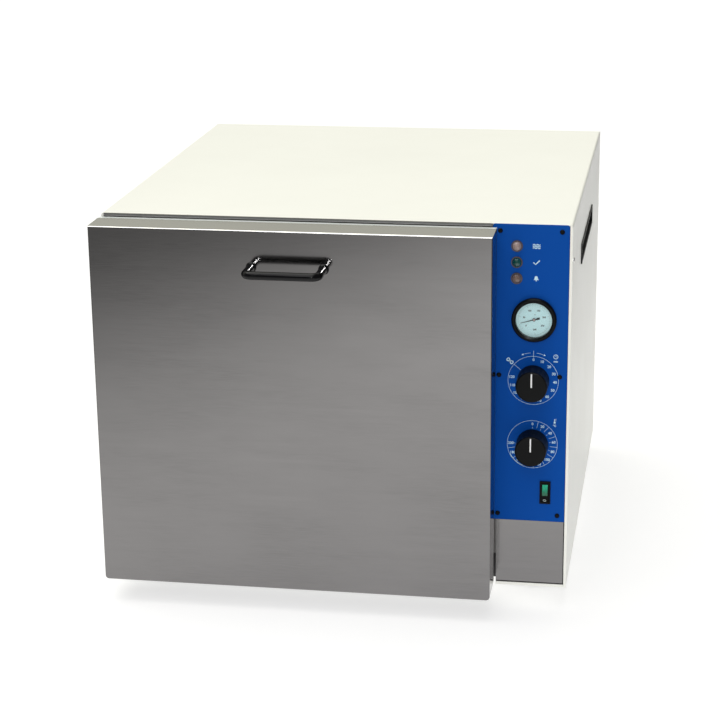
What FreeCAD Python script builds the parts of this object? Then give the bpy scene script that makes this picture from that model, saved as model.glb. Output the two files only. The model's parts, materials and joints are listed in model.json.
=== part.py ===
import FreeCAD, Part
import math
import os
import re
import Sketcher

from FreeCAD import Placement, Vector

# Dry heat sterilizer for the bench: a painted cabinet with a stainless chamber, a drop-down
# stainless door hinged along its bottom edge and a blue control panel on the right.
# Millimetres. +Z up, the door faces -Y, +X is to the right of someone who faces the door.
# The origin is on the surface it stands on, under the middle of its outer box.

SIZES = {
    # cabinet
    "case_width": 570.0, "case_depth": 600.0, "case_height": 457.0,
    "cover_sheet": 1.2, "cover_bend": 3.0, "case_edge": 3.2, "rear_flange": 14.0,
    "seam": 0.5, "overrun": 2.0,
    "front_plate": 2.0, "frame_sheet": 1.5, "frame_flange": 18.0,
    "base_upstand": 22.0, "base_lip": 3.6,
    "rear_sheet": 1.2, "rear_standoff": 14.0,
    # door
    "door_height": 452.0, "door_thickness": 54.0, "door_lift": 2.0,
    "door_gap": 3.4, "door_sheet": 1.0, "door_bend": 1.6, "door_corner": 4.5, "door_lip": 9.0,
    "rim_depth": 10.0, "rim_inset": 0.4,
    "plug_depth": 10.0, "plug_clearance": 6.0, "plug_corner": 14.0, "plug_bend": 3.0,
    "gasket_width": 8.0, "gasket_inset": 4.0, "gasket_gap": 0.3, "gasket_round": 1.2,
    # door hinge, catch and handle
    "hinge_offset": 11.0, "hinge_rise": 27.0, "hinge_inset": 22.0, "hinge_plate": 5.0,
    "hinge_eye": 7.0, "hinge_slot_gap": 1.5, "hinge_foot_width": 26.0, "hinge_foot_sheet": 3.0,
    "pin_radius": 3.0, "pin_clearance": 0.05, "pin_head": 1.5,
    "ear_sheet": 3.0, "ear_gap": 0.5, "ear_height": 26.0, "ear_web": 3.0,
    "recess_depth": 24.0, "recess_height": 41.0, "recess_side_gap": 1.5,
    "magnet_width": 40.0, "magnet_height": 10.0, "magnet_depth": 14.0, "magnet_proud": 1.5,
    "magnet_spread": 150.0, "magnet_drop": 14.0,
    "strike_sheet": 1.4, "strike_margin": 3.0,
    "handle_spacing": 86.5, "handle_bar": 10.0, "handle_projection": 43.0, "handle_bend": 8.5,
    "handle_drop": 44.0, "handle_foot": 6.4, "handle_foot_height": 1.5,
    "handle_screw": 2.5, "handle_screw_head": 4.5, "handle_screw_length": 9.0,
    # chamber
    "chamber_left": 48.0, "chamber_right": 41.5, "chamber_bottom": 70.0, "chamber_top": 71.0,
    "chamber_rear": 176.5, "chamber_corner": 12.0,
    "liner_sheet": 1.0, "liner_flange": 14.0,
    "wool_margin": 10.0, "wool_back": 60.0, "wool_gap": 1.0, "wall_sheet": 1.0,
    "wall_flange": 12.0,
    "rack_standoff": 14.0, "rack_sheet": 1.2, "rack_front": 30.0, "rack_rear": 50.0,
    "rack_margin": 26.0, "rack_bar": 24.0, "runner_width": 11.0, "runner_sheet": 1.2,
    "runner_drop": 12.0,
    "runner_first": 60.0, "runner_pitch": 80.0, "spacer_radius": 4.0,
    "tray_sheet": 1.0, "tray_rim": 14.0, "tray_front_rim": 22.0, "tray_side_gap": 1.2,
    "tray_lift": 0.3, "tray_front": 16.0, "tray_rear_gap": 37.5, "tray_slot_margin": 24.0,
    "tray_slot_width": 7.0, "tray_slot_web": 13.0,
    "tray_corner": 3.0, "tray_grip_width": 90.0, "tray_grip_height": 9.0,
    "guard_height": 28.0, "guard_sheet": 1.0, "guard_side_gap": 4.0, "guard_front": 12.0,
    "guard_slot_width": 6.0, "guard_slot_margin": 44.0, "guard_slot_web": 22.0,
    "guard_bend": 2.0,
    "heater_radius": 4.0, "heater_lift": 12.0, "heater_margin": 62.0,
    "heater_front": 50.0, "heater_rear": 70.0, "heater_seal": 8.0, "heater_tail": 26.0,
    "heater_slack": 1.0, "clip_width": 10.0, "clip_margin": 6.0,
    # vent and probes
    "vent_radius": 11.0, "vent_wall": 1.0, "vent_drop": 40.0, "vent_rim": 15.0,
    "vent_rim_sheet": 1.5,
    "sleeve_radius": 6.0, "sleeve_wall": 1.0, "sleeve_back": 250.0, "sleeve_rise": 190.0,
    "bulb_radius": 3.0, "bulb_length": 80.0, "bulb_pitch": 14.0, "bulb_offset": 7.0,
    "capillary_radius": 1.0, "capillary_lead": 9.0, "bend_share": 0.45,
    "bulb_clip_width": 6.0, "bulb_clip_sheet": 1.0, "sleeve_end": 2.0,
    # control panel
    "panel_width": 90.0, "panel_overlap": 5.5, "panel_bottom": 86.5, "panel_corner": 3.0, "kick_gap": 1.6,
    "kick_sheet": 1.2, "panel_screw_inset": 8.7, "panel_screw_drop": 8.0,
    "panel_screw_radius": 1.7, "panel_screw_head": 2.9, "panel_screw_head_height": 1.6,
    "panel_screw_length": 8.0, "window_margin": 7.0,
    "lamp_aside": 16.5, "lamp_drop": 26.0, "lamp_pitch": 19.6, "lamp_bezel": 7.0,
    "lamp_bezel_height": 1.6, "lamp_nut_height": 3.2, "lamp_barrel": 5.8, "lamp_barrel_length": 30.0,
    "lamp_lens": 5.5, "lamp_lens_height": 5.0, "lamp_seat": 4.0,
    "dial_aside": 4.8,
    "gauge_rise": 341.8, "gauge_bezel": 26.8, "gauge_bezel_height": 6.0,
    "gauge_bezel_wall": 5.2, "bezel_round_share": 0.3, "gauge_barrel": 24.6, "gauge_barrel_length": 24.0,
    "gauge_dial_sheet": 0.8, "gauge_glass_sheet": 1.0, "gauge_glass_drop": 1.0,
    "pointer_length": 16.5, "pointer_tail": 7.0, "pointer_width": 1.1, "pointer_tail_width": 2.4,
    "pointer_sheet": 0.5, "pointer_hub": 1.9, "pointer_gap": 0.6, "pointer_angle": 196.0,
    "timer_rise": 266.2, "thermostat_rise": 185.3,
    "knob_radius": 19.3, "knob_front_radius": 18.8, "knob_height": 28.0, "knob_gap": 0.8,
    "knob_edge": 1.6, "knob_round_share": 0.3, "knob_bore_depth": 18.0,
    "knob_groove_width": 2.6, "knob_groove_length": 17.6, "knob_groove_depth": 1.2,
    "knob_groove_inset": 1.9,
    "shaft_radius": 3.0, "shaft_clearance": 0.05, "shaft_back": 10.0, "bush_radius": 4.8,
    "bush_clearance": 0.2, "timer_size": 50.0, "timer_depth": 44.0, "timer_corner": 4.0,
    "thermostat_width": 42.0, "thermostat_depth": 34.0,
    "switch_aside": 21.2, "switch_rise": 124.1, "switch_width": 13.2, "switch_height": 29.0,
    "switch_bezel": 1.6, "switch_wall": 1.6, "switch_end": 2.6, "switch_depth": 25.0,
    "switch_lap": 0.8, "switch_end_lap": 1.9, "switch_fit": 0.08, "switch_well": 8.0,
    "rocker_gap": 0.4, "rocker_axis_depth": 1.0, "rocker_valley": 4.0, "rocker_root": 5.0,
    "rocker_axle": 1.2, "rocker_stub": 0.5, "rocker_tilt": 9.0, "rocker_corner": 20.0,
    "lens_width": 6.6, "lens_proud": 0.3, "lens_top_share": 0.9, "lens_low_share": 0.36,
    # grips, feet, screws
    "grip_length": 222.0, "grip_height": 19.5, "grip_drop": 77.5, "grip_depth": 24.0,
    "grip_wall": 1.8, "grip_ahead": 10.0, "grip_rim": 3.2, "grip_lip": 1.4,
    "grip_catch": 1.2, "grip_catch_sheet": 2.0,
    "foot_height": 28.0, "foot_radius": 18.0, "foot_foot_radius": 15.5, "foot_setback": 80.0,
    "foot_inset": 45.0, "foot_back": 60.0, "foot_well": 8.0, "foot_well_depth": 14.0,
    "foot_round": 2.0,
    "foot_screw": 3.0, "foot_screw_head": 6.0, "foot_screw_head_height": 4.0, "foot_nut": 5.0,
    "foot_nut_height": 4.0, "foot_screw_end": 2.4,
    "cover_screw": 2.0, "cover_screw_head": 3.6, "cover_screw_head_height": 2.2,
    "cover_screw_length": 8.0, "crown_share": 0.7, "edge_share": 0.4,
    "cover_screw_ahead": 8.0, "cover_screw_drop": 43.0,
    "rear_screw_inset": 7.0,
    # wiring parts
    "gland_across": 60.0, "gland_rise": 50.0, "gland_bore": 4.0, "gland_thread": 8.0,
    "gland_flange": 11.0, "gland_flange_height": 5.0, "gland_tail": 10.0,
    "gland_nose_height": 8.0, "gland_nose_radius": 9.3, "gland_nose_rim": 2.0,
    "locknut_height": 4.0,
    "fuse_across": 60.0, "fuse_rise": 90.0, "fuse_barrel": 6.0, "fuse_barrel_length": 34.0,
    "fuse_flange": 8.5, "fuse_flange_height": 3.0, "fuse_cap": 6.8, "fuse_cap_height": 9.0,
    "fuse_slot_width": 1.4, "fuse_slot_depth": 2.2,
    "louvre_width": 5.0, "louvre_height": 60.0, "louvre_pitch": 11.0,
}

# How often a slot or a lane repeats
TRAY_SLOT_COLUMNS, TRAY_SLOT_ROWS = 3, 7
GUARD_SLOT_COLUMNS, GUARD_SLOT_ROWS = 2, 8
HEATER_LANES = 6
FLOOR_LOUVRES, UPPER_LOUVRES, LOWER_LOUVRES = 8, 6, 14
RUNNERS = 3

# Places worked out from the sizes, by formulas in the same names
PLACES = [
    ("total_depth",
     "handle_projection + door_thickness + door_gap + case_depth + rear_standoff"),
    ("front", "handle_projection + door_thickness + door_gap - total_depth / 2"),
    ("back", "front + case_depth"),
    ("left", "-case_width / 2"),
    ("right", "case_width / 2"),
    ("base", "foot_height"),
    ("top", "foot_height + case_height"),
    ("frame_face", "front + front_plate"),
    ("frame_back", "frame_face + frame_sheet"),
    ("door_back", "front - door_gap"),
    ("door_front", "door_back - door_thickness"),
    ("panel_right", "right - case_edge - seam"),
    ("panel_left", "panel_right - panel_width"),
    ("panel_middle", "panel_right - panel_width / 2"),
    ("door_right", "panel_left + panel_overlap"),
    ("door_base", "base + door_lift"),
    ("door_top", "door_base + door_height"),
    ("door_middle", "(left + door_right) / 2"),
    ("skin_back", "door_back - rim_depth"),
    ("kick_left", "door_right + recess_side_gap"),
    ("recess_top", "base + recess_height"),
    ("recess_back", "front + recess_depth"),
    ("chamber_x0", "left + chamber_left"),
    ("wall_x0", "panel_left - front_plate"),
    ("chamber_x1", "wall_x0 - chamber_right"),
    ("chamber_width", "chamber_x1 - chamber_x0"),
    ("chamber_z0", "base + chamber_bottom"),
    ("chamber_z1", "top - chamber_top"),
    ("chamber_y1", "back - chamber_rear"),
    ("wool_y1", "chamber_y1 + liner_sheet + wool_back"),
    ("pin_y", "front - hinge_offset"),
    ("pin_z", "base + hinge_rise"),
    ("dial_x", "panel_middle + dial_aside"),
    ("lamp_x", "panel_middle - lamp_aside"),
    ("switch_x", "panel_middle + switch_aside"),
    ("rack_z0", "chamber_z0 + guard_height + rack_margin / 4"),
    ("rack_z1", "chamber_z1 - rack_margin"),
    ("rack_y0", "frame_back + rack_front"),
    ("rack_y1", "chamber_y1 - rack_rear"),
    ("tray_x0", "chamber_x0 + rack_standoff + rack_sheet + tray_side_gap"),
    ("tray_x1", "chamber_x1 - rack_standoff - rack_sheet - tray_side_gap"),
    ("tray_y0", "front + tray_front"),
    ("tray_y1", "chamber_y1 - tray_rear_gap"),
    ("tray_slot_spread",
     "(tray_x1 - tray_x0 - tray_slot_margin * 2) / %d" % TRAY_SLOT_COLUMNS),
    ("tray_slot_pitch", "(tray_y1 - tray_y0) / (%d + 1)" % TRAY_SLOT_ROWS),
    ("guard_x0", "chamber_x0 + guard_side_gap + chamber_corner"),
    ("guard_x1", "chamber_x1 - guard_side_gap - chamber_corner"),
    ("guard_y0", "frame_back + guard_front"),
    ("guard_y1", "chamber_y1 - guard_front"),
    ("guard_slot_spread",
     "(guard_x1 - guard_x0 - guard_slot_margin * 2) / %d" % GUARD_SLOT_COLUMNS),
    ("guard_slot_pitch", "(guard_y1 - guard_y0) / (%d + 1)" % GUARD_SLOT_ROWS),
    ("heater_pitch", "(chamber_width - heater_margin * 2) / (%d - 1)" % HEATER_LANES),
    ("heater_y0", "frame_back + heater_front"),
    ("heater_y1", "chamber_y1 - heater_rear"),
    ("rocker_reach", "switch_height / 2 - switch_end - rocker_gap"),
]

doc = FreeCAD.newDocument("dry_heat_sterilizer")
sizes = doc.addObject("Spreadsheet::Sheet", "sizes")
places = doc.addObject("App::VarSet", "places")
OWNER = {}


def linked(formula):
    """The formula with each size or place led by the name of the object that holds it."""
    return re.sub(r"[A-Za-z_]\w*",
                  lambda word: OWNER.get(word.group(0), "") + word.group(0), str(formula))


def number(formula):
    """The present value of a formula."""
    return float(sizes.evalExpression(linked(formula)))


def bind(item, prop, formula):
    item.setExpression(prop, linked(formula))


for row, (alias, value) in enumerate(SIZES.items(), start=1):
    sizes.set("A%d" % row, str(value))
    sizes.setAlias("A%d" % row, alias)
    OWNER[alias] = "sizes."
doc.recompute()
for place_name, place_formula in PLACES:
    places.addProperty("App::PropertyFloat", place_name, "places")
    bind(places, place_name, place_formula)
    OWNER[place_name] = "places."
doc.recompute()

SUBPARTS = {}


def new_body(label):
    """A sub-part: its label is its node's name."""
    body = doc.addObject("PartDesign::Body", label)
    body.Label = label
    body.AllowCompound = True
    body.Placement = Placement()
    SUBPARTS[label] = body
    return body


def shape_part(label, shape):
    """A sub-part whose form only a swept or gathered shape gives."""
    part = doc.addObject("Part::Feature", label)
    part.Label = label
    part.Shape = shape
    part.Placement = Placement()
    SUBPARTS[label] = part
    return part


def new_sketch(body, plane, offset):
    """A sketch on one of the body's own origin planes, moved along that plane's normal.
    XZ and its normal -Y: the offset is given as a Y place all the same."""
    sketch = body.newObject("Sketcher::SketchObject", body.Name + "_sketch")
    support = [item for item in body.Origin.OriginFeatures if item.Role == plane + "_Plane"][0]
    sketch.AttachmentSupport = [(support, "")]
    sketch.MapMode = "FlatFace"
    sign = "-" if plane == "XZ" else ""
    bind(sketch, "AttachmentOffset.Base.z", "%s(%s)" % (sign, offset))
    return sketch


def point_at(sketch, geometry, vertex, across, along):
    """Two constraints that hold a point at its place from the sketch's origin."""
    for kind, formula in (("DistanceX", across), ("DistanceY", along)):
        index = sketch.addConstraint(
            Sketcher.Constraint(kind, -1, 1, geometry, vertex, number(formula)))
        bind(sketch, "Constraints[%d]" % index, formula)


def draw_rounded(sketch, low_u, low_v, high_u, high_v, radius):
    """A rectangle with round corners: four lines joined by four quarter arcs."""
    first = sketch.GeometryCount
    lines = [("%s + %s" % (low_u, radius), low_v, "%s - %s" % (high_u, radius), low_v),
             (high_u, "%s + %s" % (low_v, radius), high_u, "%s - %s" % (high_v, radius)),
             ("%s - %s" % (high_u, radius), high_v, "%s + %s" % (low_u, radius), high_v),
             (low_u, "%s - %s" % (high_v, radius), low_u, "%s + %s" % (low_v, radius))]
    values = [[number(item) for item in line] for line in lines]
    sketch.addGeometry([Part.LineSegment(Vector(a, b, 0), Vector(c, d, 0))
                        for a, b, c, d in values])
    reach = number(radius)
    centres = [(values[0][2], values[1][1]), (values[2][0], values[1][3]),
               (values[2][2], values[3][1]), (values[0][0], values[3][3])]
    sketch.addGeometry([Part.ArcOfCircle(Part.Circle(Vector(u, v, 0), Vector(0, 0, 1), reach),
                                         math.pi * (quarter - 1) / 2, math.pi * quarter / 2)
                        for quarter, (u, v) in enumerate(centres)])
    for side in range(4):
        arc = first + 4 + side
        sketch.addConstraint([Sketcher.Constraint("Coincident", first + side, 2, arc, 1),
                              Sketcher.Constraint("Coincident", arc, 2,
                                                  first + (side + 1) % 4, 1)])
        point_at(sketch, first + side, 1, lines[side][0], lines[side][1])
        point_at(sketch, first + side, 2, lines[side][2], lines[side][3])
        centre_u = "%s - %s" % (high_u, radius) if side < 2 else "%s + %s" % (low_u, radius)
        index = sketch.addConstraint(
            Sketcher.Constraint("DistanceX", -1, 1, arc, 3, number(centre_u)))
        bind(sketch, "Constraints[%d]" % index, centre_u)


def draw(sketch, loops):
    """Loops: a list of corner formulas, a circle as (across, along, radius) or a
    rectangle with round corners as (low, low, high, high, radius)."""
    for loop in loops:
        first = sketch.GeometryCount
        if isinstance(loop, tuple) and len(loop) == 5:
            draw_rounded(sketch, *loop)
            continue
        if isinstance(loop, tuple):
            across, along, radius = loop
            centre = Vector(number(across), number(along), 0)
            sketch.addGeometry(Part.Circle(centre, Vector(0, 0, 1), number(radius)))
            point_at(sketch, first, 3, across, along)
            index = sketch.addConstraint(Sketcher.Constraint("Radius", first, number(radius)))
            bind(sketch, "Constraints[%d]" % index, radius)
            continue
        corners = [Vector(number(u), number(v), 0) for u, v in loop]
        count = len(corners)
        sketch.addGeometry([Part.LineSegment(corners[i], corners[(i + 1) % count])
                            for i in range(count)])
        sketch.addConstraint([Sketcher.Constraint("Coincident", first + i, 2,
                                                  first + (i + 1) % count, 1)
                              for i in range(count)])
        for i, (across, along) in enumerate(loop):
            point_at(sketch, first + i, 1, across, along)


def rect(across_low, along_low, across_high, along_high):
    return [(across_low, along_low), (across_high, along_low),
            (across_high, along_high), (across_low, along_high)]


def middle_rect(across, along, width, height):
    """A rectangle about its middle."""
    return rect("%s - (%s) / 2" % (across, width), "%s - (%s) / 2" % (along, height),
                "%s + (%s) / 2" % (across, width), "%s + (%s) / 2" % (along, height))


def add(body, plane, low, high, *loops):
    """Pads the loops from one place to a higher one along the plane's normal axis."""
    sketch = new_sketch(body, plane, low)
    draw(sketch, loops)
    pad = body.newObject("PartDesign::Pad", body.Name + "_pad")
    pad.Profile = sketch
    pad.Reversed = plane == "XZ"
    bind(pad, "Length", "(%s) - (%s)" % (high, low))
    return pad


def cut(body, plane, low, high, *loops):
    """Pockets the loops from one place to a higher one along the plane's normal axis."""
    sketch = new_sketch(body, plane, low)
    draw(sketch, loops)
    pocket = body.newObject("PartDesign::Pocket", body.Name + "_pocket")
    pocket.Profile = sketch
    pocket.Reversed = plane != "XZ"
    bind(pocket, "Length", "(%s) - (%s)" % (high, low))
    return pocket


def turned(body, kind, axis, across, along, profile):
    """Revolves a profile of (radius, place along the axis) about an axis line through
    the point (across, along): X axis gives (y, z), Y gives (x, z), Z gives (x, y)."""
    plane = "XZ" if axis == "Z" else "XY"
    sketch = new_sketch(body, plane, {"X": along, "Y": along, "Z": along}[axis])
    shift = "AttachmentOffset.Base.y" if axis == "X" else "AttachmentOffset.Base.x"
    bind(sketch, shift, across)
    if axis == "X":
        profile = [(reach, radius) for radius, reach in profile]
    draw(sketch, [profile])
    feature = body.newObject("PartDesign::" + kind, body.Name + "_turn")
    feature.Profile = sketch
    feature.ReferenceAxis = (sketch, ["H_Axis" if axis == "X" else "V_Axis"])
    feature.Angle = 360
    return feature


def turn(body, axis, across, along, profile):
    return turned(body, "Revolution", axis, across, along, profile)


def turn_cut(body, axis, across, along, profile):
    return turned(body, "Groove", axis, across, along, profile)


def edges_at(shape, spots):
    """Names of the edges that lie wholly at one of the given sets of coordinates."""
    found = []
    for index, edge in enumerate(shape.Edges, start=1):
        box = edge.BoundBox
        reach = {"x": (box.XMin, box.XMax), "y": (box.YMin, box.YMax),
                 "z": (box.ZMin, box.ZMax)}
        for spot in spots:
            if all(abs(end - number(place)) < number("overrun") / 100
                   for axis, place in spot.items() for end in reach[axis]):
                found.append("Edge%d" % index)
                break
    return found


def fillet(body, radius, *spots, kind="Fillet"):
    """Rounds or chamfers the edges at the given coordinates."""
    doc.recompute()
    base = body.Tip
    feature = body.newObject("PartDesign::" + kind, body.Name + "_" + kind.lower())
    feature.Base = (base, edges_at(base.Shape, spots))
    bind(feature, "Radius" if kind == "Fillet" else "Size", radius)
    return feature


def row_of(body, features, axis, pitch, count):
    """Repeats features along one of the body's own origin axes."""
    doc.recompute()
    pattern = body.newObject("PartDesign::LinearPattern", body.Name + "_row")
    pattern.Originals = features
    support = [item for item in body.Origin.OriginFeatures if item.Role == axis + "_Axis"][0]
    pattern.Direction = (support, [""])
    pattern.Mode = "Spacing"
    bind(pattern, "Offset", pitch)
    pattern.Occurrences = count
    body.Tip = pattern
    return pattern


def bent_tube(points, radius, bend):
    """A round tube along straight runs, joined at each inner point by a tangent arc."""
    edges = []
    start = points[0]
    for before, corner, after in zip(points, points[1:], points[2:]):
        inward = (corner - before).normalize()
        outward = (after - corner).normalize()
        half_turn = inward.getAngle(outward) / 2
        reach = bend * math.tan(half_turn)
        arc_start = corner - inward * reach
        arc_end = corner + outward * reach
        centre = corner + (outward - inward).normalize() * (bend / math.cos(half_turn))
        arc_middle = centre + (corner - centre).normalize() * bend
        edges.append(Part.LineSegment(start, arc_start).toShape())
        edges.append(Part.Arc(arc_start, arc_middle, arc_end).toShape())
        start = arc_end
    edges.append(Part.LineSegment(start, points[-1]).toShape())
    path = Part.Wire(edges)
    section = Part.Wire([Part.Circle(points[0], points[1] - points[0], radius).toShape()])
    return path.makePipeShell([section], True, True)


def at(across, deep, high):
    return Vector(number(across), number(deep), number(high))


# Cabinet

def outer_cover():
    """Top and both sides in one wrap, with front hems and a rear flange."""
    body = new_body("outer_cover")
    add(body, "XZ", "frame_face", "back - rear_sheet",
        [("left", "base"), ("left + cover_sheet", "base"),
         ("left + cover_sheet", "top - cover_sheet"),
         ("right - cover_sheet", "top - cover_sheet"),
         ("right - cover_sheet", "base"), ("right", "base"), ("right", "top"),
         ("left", "top")])
    add(body, "XZ", "front", "frame_face",
        [("left", "base"), ("left + cover_sheet", "base"),
         ("left + cover_sheet", "top - cover_sheet"), ("left + case_edge", "top - cover_sheet"),
         ("left + case_edge", "top"), ("left", "top")],
        [("right", "base"), ("right - cover_sheet", "base"),
         ("right - cover_sheet", "top - cover_sheet"), ("right - case_edge", "top - cover_sheet"),
         ("right - case_edge", "top"), ("right", "top")])
    add(body, "XZ", "front", "front + cover_sheet",
        rect("left + cover_sheet", "base", "left + case_edge", "top - cover_sheet"),
        rect("right - case_edge", "base", "right - cover_sheet", "top - cover_sheet"))
    fillet(body, "cover_bend", {"x": "left", "z": "top"}, {"x": "right", "z": "top"})
    inner = "rear_flange"
    add(body, "XZ", "back - rear_sheet - cover_sheet", "back - rear_sheet",
        [("left + cover_sheet", "base + " + inner), ("left + " + inner, "base + " + inner),
         ("left + " + inner, "top - " + inner), ("right - " + inner, "top - " + inner),
         ("right - " + inner, "base + " + inner), ("right - cover_sheet", "base + " + inner),
         ("right - cover_sheet", "top - cover_sheet"),
         ("left + cover_sheet", "top - cover_sheet")])
    cut(body, "YZ", "left - overrun", "left + case_edge + overrun",
        rect("front - overrun", "base - overrun", "recess_back", "recess_top"))
    slot = middle_rect("front + case_depth / 2 - grip_ahead", "top - grip_drop",
                       "grip_length + grip_wall * 2 + seam", "grip_height + grip_wall * 2 + seam")
    cut(body, "YZ", "left - overrun", "left + cover_sheet + overrun", slot)
    cut(body, "YZ", "right - cover_sheet - overrun", "right + overrun", slot)
    hole = (*cover_screw_place(), "cover_screw + pin_clearance")
    cut(body, "YZ", "left - overrun", "left + cover_sheet + overrun", hole)
    cut(body, "YZ", "right - cover_sheet - overrun", "right + overrun", hole)
    for across, high in rear_screw_places():
        cut(body, "XZ", "back - rear_sheet - cover_sheet - overrun", "back",
            (across, high, "cover_screw + pin_clearance"))


def cover_screw_place():
    """The screw through each side, near the front edge."""
    return "front + cover_screw_ahead", "top - cover_screw_drop"


def rear_screw_places():
    """Screws round the rear panel, on the cover's flange."""
    low, high = "left + rear_screw_inset", "right - rear_screw_inset"
    lower, upper = "base + case_height / 6", "top - rear_screw_inset"
    return [(low, lower), (high, lower), (low, "base + case_height / 2"),
            (high, "base + case_height / 2"), (low, upper), (high, upper),
            ("left + case_width / 3", upper), ("right - case_width / 3", upper)]


def base_pan():
    """The floor, with upstands, a recess for the door's lower edge and a front lip."""
    body = new_body("base_pan")
    side = "(cover_sheet + seam / 2)"
    floor_left, floor_right = "left + " + side, "right - " + side
    rear = "back - rear_sheet - cover_sheet - seam"
    add(body, "XY", "base", "base + cover_sheet",
        [(floor_left, "recess_back - cover_sheet"),
         ("kick_left", "recess_back - cover_sheet"),
         ("kick_left", "front"), (floor_right + " - case_edge + cover_sheet", "front"),
         (floor_right + " - case_edge + cover_sheet", "frame_face"),
         (floor_right, "frame_face"), (floor_right, rear), (floor_left, rear)])
    add(body, "XY", "base + cover_sheet", "base + base_upstand",
        rect(floor_left, "recess_back", floor_left + " + cover_sheet", rear),
        rect(floor_right + " - cover_sheet", "frame_back + frame_flange", floor_right, rear))
    add(body, "XZ", "recess_back - cover_sheet", "recess_back",
        rect(floor_left, "base + cover_sheet", "kick_left", "recess_top"))
    add(body, "XY", "recess_top - cover_sheet", "recess_top",
        rect(floor_left, "frame_back", "kick_left", "recess_back - cover_sheet"))
    add(body, "YZ", "kick_left", "kick_left + cover_sheet",
        rect("frame_back", "base + cover_sheet", "recess_back", "recess_top"))
    add(body, "XZ", "front", "front + cover_sheet",
        rect("kick_left", "base + cover_sheet", floor_right + " - case_edge + cover_sheet",
             "base + base_lip"))
    for across, deep in foot_places():
        cut(body, "XY", "base - overrun", "base + cover_sheet + overrun",
            (across, deep, "foot_screw + pin_clearance"))
    first = cut(body, "XY", "base - overrun", "base + cover_sheet + overrun",
                middle_rect("dial_x", "front + case_depth / 4", "louvre_height",
                            "louvre_width"))
    row_of(body, [first], "Y", "louvre_pitch", FLOOR_LOUVRES)
    for across, high in hinge_screw_places():
        cut(body, "XZ", "recess_back - cover_sheet - overrun", "recess_back + overrun",
            (across, high, "cover_screw + pin_clearance"))


def foot_places():
    return [(across, deep)
            for across in ("left + foot_inset", "right - foot_inset")
            for deep in ("front + foot_setback", "back - foot_back")]


def hinge_middles():
    """Middle of each door hinge, left and right."""
    return {"left": "left + hinge_inset", "right": "door_right - hinge_inset"}


def hinge_screw_places():
    """Two screws beside each hinge plate, through its foot."""
    shift = "hinge_foot_width / 3"
    return [("%s %s %s" % (middle, sign, shift), "pin_z")
            for middle in hinge_middles().values() for sign in ("-", "+")]


def front_frame():
    """A plate behind the front panels, with windows and side flanges."""
    body = new_body("front_frame")
    inner_left, inner_right = "left + cover_sheet + seam / 2", "right - cover_sheet - seam / 2"
    opening = "(liner_sheet + seam)"
    add(body, "XZ", "frame_face", "frame_back",
        [(inner_left, "recess_top"), ("kick_left", "recess_top"),
         ("kick_left", "base + cover_sheet"), (inner_right, "base + cover_sheet"),
         (inner_right, "top - cover_bend"), (inner_left, "top - cover_bend")],
        rect("chamber_x0 - " + opening, "chamber_z0 - " + opening,
             "chamber_x1 + " + opening, "chamber_z1 + " + opening),
        rect("panel_left + panel_screw_inset + window_margin",
             "base + panel_bottom + panel_screw_drop + window_margin",
             "panel_right - panel_screw_inset - panel_screw_head",
             "top - panel_screw_drop - window_margin"))
    add(body, "YZ", inner_left, inner_left + " + frame_sheet",
        rect("frame_back", "recess_top", "frame_back + frame_flange", "top - cover_bend"))
    add(body, "YZ", inner_right + " - frame_sheet", inner_right,
        rect("frame_back", "base + cover_sheet", "frame_back + frame_flange",
             "top - cover_bend"))
    hole = (*cover_screw_place(), "cover_screw")
    cut(body, "YZ", inner_left + " - overrun", inner_left + " + frame_sheet + overrun", hole)
    cut(body, "YZ", inner_right + " - frame_sheet - overrun", inner_right + " + overrun", hole)
    for across, high in panel_screw_places():
        cut(body, "XZ", "frame_face - overrun", "frame_back + overrun",
            (across, high, "panel_screw_radius"))
    for across in magnet_middles():
        cut(body, "XZ", "frame_face - overrun", "frame_back + overrun",
            middle_rect(across, "door_top - magnet_drop", "magnet_width + seam",
                        "magnet_height + seam"))


def panel_screw_places():
    columns = ("panel_left + panel_screw_inset", "panel_right - panel_screw_inset")
    rows = ("base + panel_bottom + panel_screw_drop",
            "base + (panel_bottom + case_height) / 2", "top - panel_screw_drop")
    return [(across, high) for across in columns for high in rows]


def magnet_middles():
    return ("door_middle - magnet_spread / 2", "door_middle + magnet_spread / 2")


def front_fascia():
    """The stainless surround of the chamber's mouth, behind the door."""
    body = new_body("front_fascia")
    add(body, "XZ", "front", "frame_face",
        rect("left + case_edge + seam", "recess_top", "panel_left - seam", "top"),
        rect("chamber_x0", "chamber_z0", "chamber_x1", "chamber_z1"))
    corners = [{"x": across, "z": high} for across in ("chamber_x0", "chamber_x1")
               for high in ("chamber_z0", "chamber_z1")]
    fillet(body, "chamber_corner", *corners)
    for across in magnet_middles():
        cut(body, "XZ", "front - overrun", "frame_face + overrun",
            middle_rect(across, "door_top - magnet_drop", "magnet_width + seam",
                        "magnet_height + seam"))


def control_panel():
    """The blue plate that carries the lamps, dials and switch."""
    body = new_body("control_panel")
    lamps = [("lamp_x", high, "lamp_barrel + seam / 2") for high in lamp_heights()]
    add(body, "XZ", "front", "frame_face",
        rect("panel_left", "base + panel_bottom", "panel_right", "top"), *lamps,
        ("dial_x", "base + gauge_rise", "gauge_barrel + seam"),
        ("dial_x", "base + timer_rise", "bush_radius + bush_clearance"),
        ("dial_x", "base + thermostat_rise", "bush_radius + bush_clearance"),
        middle_rect("switch_x", "base + switch_rise",
                    "switch_width - switch_lap * 2 + switch_fit * 2",
                    "switch_height - switch_end_lap * 2 + switch_fit * 2"),
        *[(across, high, "panel_screw_radius + bush_clearance")
          for across, high in panel_screw_places()])
    fillet(body, "panel_corner", {"x": "panel_right", "z": "top"},
           {"x": "panel_left", "z": "top"})


def lamp_heights():
    return ["top - lamp_drop - lamp_pitch * %d" % order for order in range(3)]


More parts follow.
